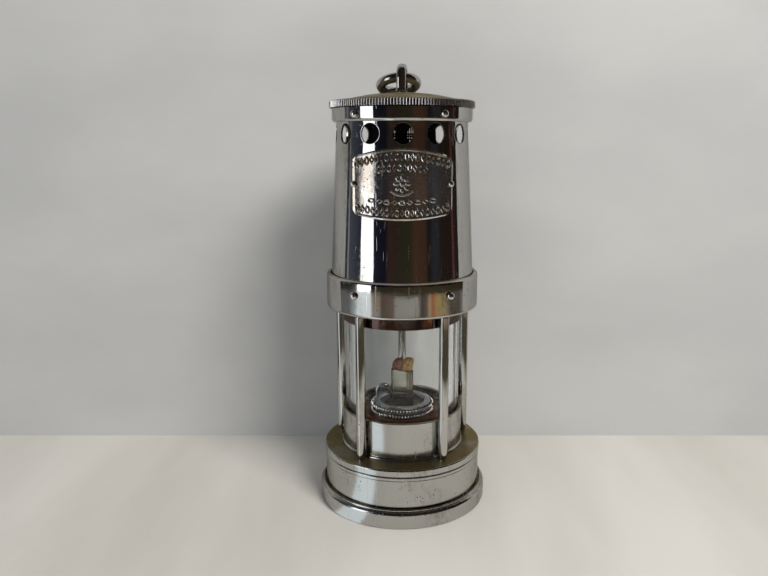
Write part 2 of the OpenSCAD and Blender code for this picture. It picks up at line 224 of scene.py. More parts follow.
def facing_out(angle: float, radius: float, height: float) -> Matrix:
    """Puts +Z of a shape outwards at a place round the lamp.

    Args:
        angle: angle round the axis from the front, in radians.
        radius: how far out the shape's origin goes.
        height: how high it goes.

    Returns:
        The placing matrix.
    """
    return about_axis(angle) @ Matrix.Translation((0, -radius, height)) @ STAND


def round_lamp(angle: float, radius: float, height: float) -> Vector:
    """The place at an angle from the front, in radians, at a distance from the axis and a height."""
    return Vector((radius * math.sin(angle), -radius * math.cos(angle), height))


def merged(parts: Iterable[Mesh]) -> Mesh:
    """Puts several meshes into one and frees them.

    Args:
        parts: the meshes.

    Returns:
        One mesh that holds them all.
    """
    whole = bmesh.new()
    for part in parts:
        carrier = bpy.data.meshes.new("carrier")
        part.to_mesh(carrier)
        part.free()
        whole.from_mesh(carrier)
        bpy.data.meshes.remove(carrier)
    return whole


def repeated(shape: Mesh, places: Iterable[Matrix]) -> Mesh:
    """Copies a shape to several places.

    Args:
        shape: the shape, which is freed.
        places: where each copy goes.

    Returns:
        One mesh with every copy.
    """
    copies = []
    for place in places:
        copy = shape.copy()
        bmesh.ops.transform(copy, matrix=place, verts=copy.verts)
        copies.append(copy)
    shape.free()
    return merged(copies)


def only(geometry: Iterable[object], kind: type) -> list:
    """Picks the items of one kind, such as the vertices, out of what an operator gives back."""
    return [item for item in geometry if isinstance(item, kind)]


def grow(bm: Mesh, faces: list[Face], by: Vector) -> list[Face]:
    """Extrudes faces.

    Args:
        bm: the mesh.
        faces: the faces to extrude.
        by: how far and which way.

    Returns:
        The faces at the new end.
    """
    new = bmesh.ops.extrude_face_region(bm, geom=faces)["geom"]
    bmesh.ops.translate(bm, vec=by, verts=only(new, Vert))
    return only(new, Face)


def arched(bm: Mesh, rise: float, centre: Vector, axis: Vector, steps: int, fall: float) -> list[Face]:
    """Draws the one face of a mesh up, round half a turn and down again.

    Args:
        bm: the mesh.
        rise: how far it goes up.
        centre: the middle of the bend.
        axis: what it turns about.
        steps: how many facets the bend has.
        fall: how far it goes down.

    Returns:
        The face at the far end.
    """
    top = grow(bm, list(bm.faces), Vector((0, 0, rise)))
    bend = bmesh.ops.spin(
        bm, geom=top, cent=centre, axis=axis, angle=math.pi, steps=steps, use_merge=False
    )
    tip = grow(bm, only(bend["geom_last"], Face), Vector((0, 0, -fall)))
    bmesh.ops.delete(bm, geom=[f for f in top if f.is_valid], context="FACES_ONLY")
    return tip


def finished(bm: Mesh, name: str, even_normals: bool = True) -> Piece:
    """Turns a mesh in millimetres into an object in metres.

    Args:
        bm: the mesh, which is freed.
        name: the piece's name.
        even_normals: whether wide faces keep flat shading beside their rounded edges.

    Returns:
        The new object.
    """
    bmesh.ops.scale(bm, vec=(MM, MM, MM), verts=bm.verts)
    for face in bm.faces:
        face.smooth = True
    for edge in bm.edges:
        edge.smooth = len(edge.link_faces) == 2 and edge.calc_face_angle() < CREASE
    mesh = bpy.data.meshes.new(name)
    bm.to_mesh(mesh)
    bm.free()
    piece = bpy.data.objects.new(name, mesh)
    bpy.context.scene.collection.objects.link(piece)
    if even_normals:
        weighted = piece.modifiers.new("even_normals", "WEIGHTED_NORMAL")
        weighted.weight = 60
        weighted.keep_sharp = True
    return piece


# ---------------------------------------------------------------- node helpers


class Tree:
    """A short way to add and join the nodes of a material or a group."""

    def __init__(self, tree: bpy.types.NodeTree) -> None:
        """Keeps the tree that the nodes go into."""
        self.tree = tree

    def add(self, kind: str, inputs: dict | None = None, **settings: object) -> bpy.types.Node:
        """Adds a node.

        Args:
            kind: the node's type, without its ShaderNode prefix.
            inputs: values or output sockets for its inputs, by name or number.
            **settings: properties of the node.

        Returns:
            The new node.
        """
        node = self.tree.nodes.new("ShaderNode" + kind)
        for key, value in settings.items():
            setattr(node, key, value)
        for key, value in (inputs or {}).items():
            self.feed(node.inputs[key], value)
        return node

    def feed(self, socket: Socket, value: object) -> None:
        """Links an output to an input, or sets the input's value."""
        if isinstance(value, Socket):
            self.tree.links.new(value, socket)
        else:
            socket.default_value = value

    def math(self, operation: str, *values: object) -> Socket:
        """Adds a Math node and returns its result."""
        return self.add("Math", dict(enumerate(values)), operation=operation).outputs[0]

    def plus(self, value: object, part: object, share: float) -> Socket:
        """Adds a share of one value to another and returns the sum."""
        return self.math("ADD", value, self.math("MULTIPLY", part, share))

    def place(self) -> Socket:
        """Adds a Texture Coordinate node and returns the place on the object."""
        return self.add("TexCoord").outputs["Object"]

    def split(self, vector: object) -> bpy.types.NodeOutputs:
        """Adds a Separate XYZ node and returns its outputs."""
        return self.add("SeparateXYZ", {0: vector}).outputs

    def bump(self, shader: bpy.types.Node, height: object, strength: float, distance: float) -> None:
        """Gives a shader's surface a relief, whose distance is in metres."""
        relief = self.add("Bump", {"Height": height, "Strength": strength, "Distance": distance})
        self.feed(shader.inputs["Normal"], relief.outputs[0])

    def noise(self, vector: object, scale: object, detail: float = 3.0) -> Socket:
        """Adds a noise texture and returns its value."""
        inputs = {"Vector": vector, "Scale": scale, "Detail": detail}
        return self.add("TexNoise", inputs).outputs["Fac"]

    def remap(
        self, value: object, low: object, high: object, to_low: object = 0.0, to_high: object = 1.0
    ) -> Socket:
        """Adds a clamped, smooth Map Range node and returns its result."""
        inputs = {"Value": value, "From Min": low, "From Max": high, "To Min": to_low, "To Max": to_high}
        return self.add("MapRange", inputs, interpolation_type="SMOOTHSTEP").outputs[0]

    def blend(self, factor: object, first: object, second: object) -> Socket:
        """Adds a colour mix and returns its result."""
        node = self.add("Mix", data_type="RGBA")
        for socket, value in ((node.inputs[0], factor), (node.inputs[6], first), (node.inputs[7], second)):
            self.feed(socket, value)
        return node.outputs[2]

    def ramp(self, factor: object, stops: list[tuple[float, Colour]]) -> Socket:
        """Adds a colour ramp.

        Args:
            factor: the value that it reads, from 0 to 1.
            stops: its positions and colours in order.

        Returns:
            The ramp's colour.
        """
        node = self.add("ValToRGB", {0: factor})
        elements = node.color_ramp.elements
        elements.remove(elements[1])
        elements[0].position, elements[0].color = stops[0]
        for position, colour in stops[1:]:
            elements.new(position).color = colour
        return node.outputs[0]


def new_group(
    name: str, inputs: dict[str, float], outputs: list[str]
) -> tuple[Tree, bpy.types.NodeOutputs, bpy.types.NodeInputs]:
    """Starts a shader node group with number sockets.

    Args:
        name: the group's name.
        inputs: its inputs and their usual values.
        outputs: its outputs.

    Returns:
        A helper that fills the group, the values that come in and the sockets that they leave by.
    """
    group = bpy.data.node_groups.new(name, "ShaderNodeTree")
    for key, value in inputs.items():
        socket = group.interface.new_socket(key, in_out="INPUT", socket_type="NodeSocketFloat")
        socket.default_value = value
    for key in outputs:
        group.interface.new_socket(key, in_out="OUTPUT", socket_type="NodeSocketFloat")
    given = group.nodes.new("NodeGroupInput").outputs
    return Tree(group), given, group.nodes.new("NodeGroupOutput").inputs


class Effects:
    """The node groups that several finishes share. Each is made once, when it is first asked for."""

    made: dict[str, bpy.types.NodeTree] = {}

    @classmethod
    def get(cls, name: str) -> bpy.types.NodeTree:
        """Returns the group of that name, and builds it the first time."""
        if name not in cls.made:
            cls.made[name] = getattr(cls, name)()
        return cls.made[name]

    @staticmethod
    def turning_marks() -> bpy.types.NodeTree:
        """Fine lines left by the lathe, drawn round the axis on walls and in rings on faces."""
        tree, given, result = new_group("turning_marks", {"Fineness": 900.0, "Spread": 8.0}, ["Value"])
        place = tree.place()
        split = tree.split(place)
        angle = tree.math("ARCTAN2", split[0], split[1])
        squares = [tree.math("MULTIPLY", split[i], split[i]) for i in range(2)]
        radius = tree.math("SQRT", tree.math("ADD", *squares))
        across = tree.math("MULTIPLY", tree.math("ADD", split[2], radius), given["Fineness"])
        along = tree.math("MULTIPLY", tree.math("SINE", angle), given["Spread"])
        away = tree.math("MULTIPLY", tree.math("COSINE", angle), given["Spread"])
        vector = tree.add("CombineXYZ", {0: along, 1: away, 2: across}).outputs[0]
        tree.feed(result["Value"], tree.noise(vector, 1.0, 4.0))
        return tree.tree

    @staticmethod
    def grime() -> bpy.types.NodeTree:
        """Blotches of stain that run a little down the walls."""
        tree, given, result = new_group("grime", {"Scale": 60.0, "Cover": 0.4}, ["Mask", "Fine"])
        place = tree.place()
        runs = tree.add("Mapping", {"Vector": place, "Scale": (1.0, 1.0, 0.35)}).outputs[0]
        broad = tree.noise(runs, given["Scale"], 5.0)
        fine = tree.noise(place, tree.math("MULTIPLY", given["Scale"], 9.0), 4.0)
        both = tree.plus(tree.math("MULTIPLY", broad, 0.75), fine, 0.25)
        edge = tree.math("SUBTRACT", 0.78, tree.math("MULTIPLY", given["Cover"], 0.5))
        top = tree.math("ADD", edge, 0.16)
        tree.feed(result["Mask"], tree.remap(both, edge, top))
        tree.feed(result["Fine"], fine)
        return tree.tree

    @staticmethod
    def pitting() -> bpy.types.NodeTree:
        """Small pits where the plating has failed."""
        tree, given, result = new_group("pitting", {"Scale": 700.0, "Amount": 0.3}, ["Mask"])
        place = tree.place()
        cells = tree.add("TexVoronoi", {"Vector": place, "Scale": given["Scale"]})
        spot = tree.remap(cells.outputs["Distance"], 0.32, 0.12)
        chosen = tree.add("TexWhiteNoise", {"Vector": cells.outputs["Position"]}, noise_dimensions="3D")
        keep = tree.math("LESS_THAN", chosen.outputs["Value"], given["Amount"])
        patches = tree.remap(tree.noise(place, 55.0, 3.0), 0.42, 0.62)
        tree.feed(result["Mask"], tree.math("MULTIPLY", tree.math("MULTIPLY", spot, keep), patches))
        return tree.tree

    @staticmethod
    def scuffs() -> bpy.types.NodeTree:
        """Hairline scratches in two crossing directions."""
        tree, given, result = new_group("scuffs", {"Scale": 220.0}, ["Mask"])
        place = tree.place()
        lines = []
        for turn, stretch in (((0.3, 0.2, 0.5), 0.06), ((-0.5, 0.4, -0.6), 0.045)):
            laid = tree.add("Mapping", {"Vector": place, "Rotation": turn, "Scale": (1.0, 1.0, stretch)})
            field = tree.noise(laid.outputs[0], tree.math("MULTIPLY", given["Scale"], 4.0), 2.0)
            lines.append(tree.remap(field, 0.665, 0.70))
        tree.feed(result["Mask"], tree.math("MAXIMUM", lines[0], lines[1]))
        return tree.tree

    @staticmethod
    def lying_dirt() -> bpy.types.NodeTree:
        """Where dirt and old oil lie: on faces that look up, thicker in blotches."""
        tree, given, result = new_group("lying_dirt", {"Amount": 1.0, "Scale": 90.0}, ["Mask"])
        coords = tree.add("TexCoord").outputs
        up = tree.remap(tree.split(coords["Normal"])[2], 0.55, 0.95)
        blotch = tree.remap(tree.noise(coords["Object"], given["Scale"], 6.0), 0.25, 0.6, 0.45, 1.0)
        tree.feed(result["Mask"], tree.math("MULTIPLY", tree.math("MULTIPLY", up, blotch), given["Amount"]))
        return tree.tree


def new_material(name: str) -> tuple[bpy.types.Material, Tree, bpy.types.Node]:
    """Starts a node material.

    Args:
        name: the material's name.

    Returns:
        The material, a helper for its tree, and its Principled shader.
    """
    material = bpy.data.materials.new(name)
    material.use_nodes = True
    tree = Tree(material.node_tree)
    shader = material.node_tree.nodes["Principled BSDF"]
    return material, tree, shader


def shared(tree: Tree, effect: str, **values: float) -> bpy.types.NodeOutputs:
    """Places a shared effect in a material.

    Args:
        tree: the material's tree.
        effect: the effect's name.
        **values: its inputs.

    Returns:
        The outputs of the group node.
    """
    node = tree.add("Group", node_tree=Effects.get(effect))
    for key, value in values.items():
        node.inputs[key.title()].default_value = value
    return node.outputs


# ---------------------------------------------------------------- finishes


@dataclass(frozen=True)
class PlatedMetal:
    """A metal surface: plated, plain or tarnished, with its marks, pits, stains and dirt, and painted shade
    in its recesses where a groove is given.
    """

    name: str
    slot: str
    colour: Colour
    stain: Colour
    dirt: Colour
    smooth: float
    dull: float
    marks: float = 0.02
    fineness: float = 900.0
    pits: float = 0.25
    cover: float = 0.35
    lying: float = 0.9
    wave: float = 0.05
    ripple: float = 0.004
    metallic: float = 1.0
    # Painted shade: two radii in metres from the axis; past the first, away from the second, the colour goes
    # near black. Zeros leave it out.
    groove: tuple[float, float] = (0.0, 0.0)
    edge: float = 0.62
    pit_depth: float = 0.03
    film: float = 0.1

    def material(self) -> bpy.types.Material:
        """Builds the node material.

        Returns:
            The material.
        """
        material, tree, shader = new_material(self.name)
        shader.inputs["Specular Tint"].default_value = (self.edge, self.edge, self.edge * 0.98, 1.0)
        marks = shared(tree, "turning_marks", fineness=self.fineness)["Value"]
        grime = shared(tree, "grime", cover=self.cover)
        pits = shared(tree, "pitting", amount=self.pits)["Mask"]
        scuffs = shared(tree, "scuffs")["Mask"]
        dirt = shared(tree, "lying_dirt", amount=self.lying)["Mask"]
        stained = tree.blend(tree.math("MULTIPLY", grime["Mask"], 0.8), self.colour, self.stain)
        tinted = tree.blend(tree.math("MULTIPLY", pits, 0.85), stained, (0.05, 0.045, 0.04, 1.0))
        colour = tree.blend(dirt, tinted, self.dirt)
        # Painted shade in recesses: the colour darkens by distance from the axis.
        if self.groove[1]:
            split = tree.split(tree.place())
            flat = tree.add("CombineXYZ", {0: split[0], 1: split[1]}).outputs[0]
            reach = tree.add("VectorMath", {0: flat}, operation="LENGTH").outputs["Value"]
            colour = tree.blend(tree.remap(reach, *self.groove), (0.02, 0.017, 0.014, 1), colour)
        tree.feed(shader.inputs["Base Color"], colour)
        rough = tree.remap(grime["Mask"], 0.0, 1.0, self.smooth, self.dull)
        for effect, share in ((tree.math("SUBTRACT", marks, 0.5), 0.12), (scuffs, 0.16), (pits, 0.4)):
            rough = tree.plus(rough, effect, share)
        rough = tree.math("MAXIMUM", rough, 0.02)
        tree.feed(shader.inputs["Roughness"], tree.remap(dirt, 0.0, 1.0, rough, 0.62 - 0.2 * self.film))
        tree.feed(shader.inputs["Metallic"], tree.remap(dirt, 0.0, 1.0, self.metallic, self.film))
        place = tree.place()
        height = tree.math("MULTIPLY", tree.noise(place, 45.0, 1.0), self.wave)
        for effect, share in ((tree.noise(place, 320.0, 2.0), self.ripple), (marks, self.marks),
                              (pits, -self.pit_depth), (scuffs, -0.01)):
            height = tree.plus(height, effect, share)
        tree.bump(shader, height, 1.0, 0.001)
        return material


@dataclass(frozen=True)
class Fibre:
    """Oil-soaked fibre of the washers and packings."""

    name: str = "oiled_fibre"
    slot: str = "red_fibre"

    def material(self) -> bpy.types.Material:
        """Builds the node material.

        Returns:
            The material.
        """
        material, tree, shader = new_material(self.name)
        grime = shared(tree, "grime", scale=140.0, cover=0.7)
        tree.feed(shader.inputs["Base Color"],
                  tree.blend(grime["Mask"], (0.085, 0.022, 0.014, 1.0), (0.02, 0.010, 0.008, 1.0)))
        tree.feed(shader.inputs["Roughness"], tree.remap(grime["Fine"], 0.2, 0.8, 0.35, 0.7))
        tree.bump(shader, grime["Fine"], 0.4, 0.0002)
        return material


@dataclass(frozen=True)
class Cotton:
    """Cotton of the wick: strands along its height, and a burnt tint on one side."""

    name: str = "burnt_cotton"
    slot: str = "cotton"
    clean: Colour = (0.60, 0.38, 0.18, 1.0)
    burnt: Colour = (0.34, 0.17, 0.14, 1.0)

    def material(self) -> bpy.types.Material:
        """Builds the node material.

        Returns:
            The material.
        """
        material, tree, shader = new_material(self.name)
        place = tree.place()
        strands = tree.add("Mapping", {"Vector": place, "Scale": (1.0, 1.0, 0.25)}).outputs[0]
        fibre = tree.noise(strands, 1800.0, 3.0)
        side = tree.math("ADD", tree.math("MULTIPLY", tree.split(place)[0], 400.0),
                         tree.noise(place, 500.0, 2.0))
        cotton = tree.blend(tree.remap(side, -0.3, 1.1), self.burnt, self.clean)
        between = tree.blend(0.6, cotton, (0.10, 0.05, 0.04, 1.0))
        shaded = tree.blend(tree.remap(fibre, 0.35, 0.62), between, cotton)
        tree.feed(shader.inputs["Base Color"], shaded)
        tree.feed(shader.inputs["Roughness"], tree.remap(fibre, 0.2, 0.8, 0.95, 0.75))
        tree.bump(shader, fibre, 0.8, 0.0003)
        return material


@dataclass(frozen=True)
class ClearGlass:
    """Clear glass with faint greasy smears."""

    name: str = "polished_glass"
    slot: str = "clear_glass"

    def material(self) -> bpy.types.Material:
        """Builds the node material.

        Returns:
            The material.
        """
        material, tree, shader = new_material(self.name)
        shader.inputs["Transmission Weight"].default_value = 1.0
        shader.inputs["Metallic"].default_value = 0.0
        shader.inputs["IOR"].default_value = 1.3
        grime = shared(tree, "grime", scale=40.0, cover=0.5)
        tree.feed(shader.inputs["Base Color"],
                  tree.blend(grime["Mask"], (0.985, 0.995, 0.99, 1.0), (0.93, 0.95, 0.94, 1.0)))
        tree.feed(shader.inputs["Roughness"], tree.remap(grime["Mask"], 0.0, 1.0, 0.0, 0.004))
        rays = tree.add("LightPath").outputs
        passing = tree.math("MAXIMUM", rays["Is Shadow Ray"], rays["Is Diffuse Ray"])
        clear = tree.add("BsdfTransparent", {"Color": (0.93, 0.94, 0.93, 1)}).outputs[0]
        mix = tree.add("MixShader", {0: passing, 1: shader.outputs[0], 2: clear})
        tree.feed(material.node_tree.nodes["Material Output"].inputs[0], mix.outputs[0])
        return material


class Finish(Enum):
    """Every finish on the lamp."""

    BRIGHT = PlatedMetal("polished_plate", "bright_plate", (0.52, 0.51, 0.49, 1), (0.34, 0.32, 0.27, 1),
                         (0.13, 0.105, 0.06, 1), 0.05, 0.13, marks=0.003, wave=0.16, cover=0.5, ripple=0.006,
                         pits=0.16, pit_depth=0.004)
    SKIRT = PlatedMetal("oiled_plate", "bright_plate", (0.24, 0.16, 0.14, 1), (0.07, 0.045, 0.04, 1),
                        (0.03, 0.02, 0.02, 1), 0.06, 0.14, marks=0.0, wave=0.2, cover=0.9, lying=0.2)
    STAMPED = PlatedMetal("stamped_plate", "bright_plate", (0.62, 0.60, 0.59, 1), (0.45, 0.37, 0.29, 1),
                          (0.12, 0.09, 0.05, 1), 0.08, 0.24, marks=0.004, wave=0.6, ripple=0.025, cover=0.7,
                          lying=0.5, metallic=0.98)
    PEENED = PlatedMetal("peened_plate", "bright_plate", (0.68, 0.67, 0.66, 1), (0.36, 0.33, 0.28, 1),
                         (0.30, 0.27, 0.22, 1), 0.16, 0.26, marks=0.0, wave=0.0, cover=0.4, lying=0.1)
    # Its groove paints shade into the valleys between the milled teeth.
    MILLED = PlatedMetal("milled_plate", "bright_plate", (0.86, 0.82, 0.81, 1), (0.55, 0.48, 0.46, 1),
                         (0.16, 0.13, 0.08, 1), 0.2, 0.3, marks=0.0, wave=0.0, lying=0.6,
                         groove=(0.03615, 0.0366))
    DOME = PlatedMetal("dusty_plate", "bright_plate", (0.36, 0.33, 0.26, 1), (0.20, 0.165, 0.10, 1),
                       (0.125, 0.098, 0.045, 1), 0.16, 0.34, marks=0.01, cover=0.6, lying=1.0, film=0.3)
    WORN = PlatedMetal("worn_plate", "satin_steel", (0.49, 0.49, 0.475, 1), (0.30, 0.275, 0.235, 1),
                       (0.24, 0.18, 0.055, 1), 0.17, 0.30, marks=0.012, wave=0.08, cover=0.5, pits=0.2,
                       film=0.9)
    DARK = PlatedMetal("polished_steel", "dark_steel", (0.50, 0.49, 0.46, 1), (0.26, 0.24, 0.20, 1),
                       (0.10, 0.09, 0.07, 1), 0.13, 0.26, marks=0.0, wave=0.12, lying=0.1, cover=0.5)
    SOOTED = PlatedMetal("sooted_inside", "bright_plate", (0.16, 0.12, 0.08, 1), (0.06, 0.045, 0.03, 1),
                         (0.05, 0.04, 0.03, 1), 0.35, 0.6, marks=0.0, cover=0.6, metallic=0.7)
    BRASS = PlatedMetal("oiled_brass", "old_brass", (0.13, 0.055, 0.035, 1), (0.04, 0.016, 0.011, 1),
                        (0.045, 0.013, 0.009, 1), 0.25, 0.5, marks=0.02, lying=0.5, cover=0.7)
    # Its groove paints shade on the nut's outer part, round the neck behind and between its beads.
    NUT = PlatedMetal("burner_steel", "old_brass", (0.42, 0.43, 0.45, 1), (0.12, 0.10, 0.09, 1),
                      (0.16, 0.16, 0.17, 1), 0.16, 0.30, marks=0.01, lying=0.5, cover=0.4, film=0.5,
                      groove=(0.0156, 0.0150))
    TARNISHED = PlatedMetal("oily_tube", "tarnished_tube", (0.26, 0.24, 0.19, 1), (0.05, 0.042, 0.03, 1),
                            (0.03, 0.024, 0.018, 1), 0.14, 0.34, marks=0.0, lying=0.3, cover=0.6)
    GAUZE = PlatedMetal("sooted_wire", "gauze_wire", (0.035, 0.03, 0.026, 1), (0.015, 0.013, 0.012, 1),
                        (0.02, 0.018, 0.016, 1), 0.45, 0.7, marks=0.0, lying=0.2, metallic=0.6)
    FIBRE = Fibre()
    COTTON = Cotton()
    GLASS = ClearGlass()

    def apply(self, piece: Piece) -> None:
        """Gives a piece this finish."""
        piece.data.materials.clear()
        piece.data.materials.append(made(self))


@cache
def made(finish: Finish) -> bpy.types.Material:
    """The material of a finish, built the first time that a piece needs it."""
    return finish.value.material()


def mount_piece(piece: Piece, finish: Finish, body: str, *nodes: str) -> Piece:
    """Finishes a piece, puts it on its body and hides the CAD nodes that it stands for.

    Args:
        piece: the new piece.
        finish: its finish.
        body: the CAD body that it rides on.
        *nodes: the CAD nodes that it stands for.

    Returns:
        The piece.
    """
    finish.apply(piece)
    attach(piece, body)
    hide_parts(*nodes)
    LOG.info("%s: %d faces on %s", piece.name, len(piece.data.polygons), body)
    return piece


def dress_nodes(nodes: dict[str, Piece], finish: Finish, *names: str) -> None:
    """Gives CAD nodes that stay visible their finish.

    Args:
        nodes: the frame's node objects.
        finish: the finish.
        *names: the nodes' names.
    """
    for name in names:
        nodes[name].data.materials.clear()
        nodes[name].data.materials.append(made(finish))
        LOG.info("%s: CAD mesh in %s", name, finish.value.name)


# ---------------------------------------------------------------- sub-assemblies


@dataclass
class Vessel:
    """The foot, the oil vessel, its neck and the seal washer."""

    flange: float = 8.0
    lip_in: float = 37.0
    lip_height: float = 2.0
    bead_radius: float = 43.0
    bead_height: float = 9.3
    bead: float = 0.55
    groove: float = 0.14
    groove_drop: float = 1.65
    sheet: float = 1.5
    sleeve: float = 23.2
    sleeve_in: float = 21.2
    thread_height: float = 9.9
    thread_pitch: float = 1.5
    thread_flat: float = 0.35
    thread_depth: float = 0.7
    trough: float = 20.8
    trough_depth: float = 0.35
    hole: float = 10.6
    collar_in: float = 14.05
    collar_out: float = 15.5
    collar_rise: float = 2.5
    washer_in: float = 28.2

    def build(self) -> None:
        """Makes the pieces that stand on the ground."""
        self.foot()
        self.drum()
        self.neck()
        self.washer()

    def foot(self) -> None:
        """Makes the flanged foot with its bead and groove."""
        node = Extent.of("foot_ring")
        wall = Extent.of("oil_vessel").radius + CLEARANCE
        slope = 0.75
        section = [
            Corner(self.lip_in, 0, 0.3), Corner(node.radius, 0, 0.7), Corner(node.radius, self.flange, 1.1),
            Corner(self.bead_radius + slope, self.flange + slope, 0.25),
            *arc(self.bead_radius, self.bead_height, self.bead, -20, 200, 9),
            Corner(wall + 0.25, self.bead_height - 0.5, 0.1), Corner(wall, self.bead_height - 0.5),
            Corner(wall, self.lip_height), Corner(self.lip_in, self.lip_height, 0.2),
        ]
        mount_piece(finished(turned(section, 256), "foot"), Finish.WORN, "vessel", "foot_ring")

    def drum(self) -> None:
        """Makes the vessel's drum with its deck."""
        node = Extent.of("oil_vessel")
        r, z0, z1 = node.radius, node.low.z, node.high.z
        groove, bottom = z1 - self.groove_drop, r - self.groove
        hole = self.sleeve + CLEARANCE
        section = [
            Corner(r - self.sheet, z0), Corner(r, z0), Corner(r, groove - 0.25),
            Corner(bottom, groove - 0.1, 0.05), Corner(bottom, groove + 0.1, 0.05), Corner(r, groove + 0.25),
            Corner(r, z1, 0.35), Corner(hole, z1, 0.2), Corner(hole, z1 - self.sheet),
            Corner(r - self.sheet, z1 - self.sheet, 0.8),
        ]
        mount_piece(finished(turned(section, 256), "drum"), Finish.WORN, "vessel", "oil_vessel")

    def neck(self) -> None:
        """Makes the neck: a threaded spigot, a sleeve, and the burner's deck with its collar."""
        node = Extent.of("vessel_neck")
        deck = Extent.of("burner_nut").low.z - 0.1
        top = Extent.of("oil_vessel").high.z
        crests = int(self.thread_height / self.thread_pitch)
        lead = 0.4
        root = node.radius - self.thread_depth
        thread = []
        for i in range(crests):
            z = top + lead + i * self.thread_pitch
            thread += [Corner(node.radius, z), Corner(node.radius, z + self.thread_flat),
                       Corner(root, z + 2 * self.thread_flat), Corner(root, z + 3 * self.thread_flat)]
        spigot = top + self.thread_height
        trough, bottom = self.trough, deck - self.trough_depth
        collar = deck + self.collar_rise
        section = [
            Corner(self.sleeve_in, node.low.z), Corner(self.sleeve, node.low.z), Corner(self.sleeve, top),
            Corner(node.radius, top), *thread, Corner(node.radius - 0.6, spigot),
            Corner(self.sleeve, spigot, 0.2), Corner(self.sleeve, deck, 0.5), Corner(trough + 0.8, deck),
            Corner(trough + 0.4, bottom), Corner(trough - 0.4, bottom), Corner(trough - 0.8, deck),
            Corner(self.collar_out, deck, 0.2), Corner(self.collar_out, collar, 0.2),
            Corner(self.collar_in, collar, 0.2), Corner(self.collar_in, deck), Corner(self.hole, deck, 0.2),
            Corner(self.hole, deck - self.sheet), Corner(self.sleeve_in, deck - self.sheet),
        ]
        mount_piece(finished(turned(section, 160), "neck"), Finish.BRASS, "vessel", "vessel_neck")

    def washer(self) -> None:
        """Makes the fibre washer between the vessel and the cage."""
        node = Extent.of("seal_washer")
        section = hollow_ring(self.washer_in, node.radius, node.low.z, node.high.z, 0.12)
        mount_piece(finished(turned(section, 192), "fibre_washer"), Finish.FIBRE, "washer", "seal_washer")


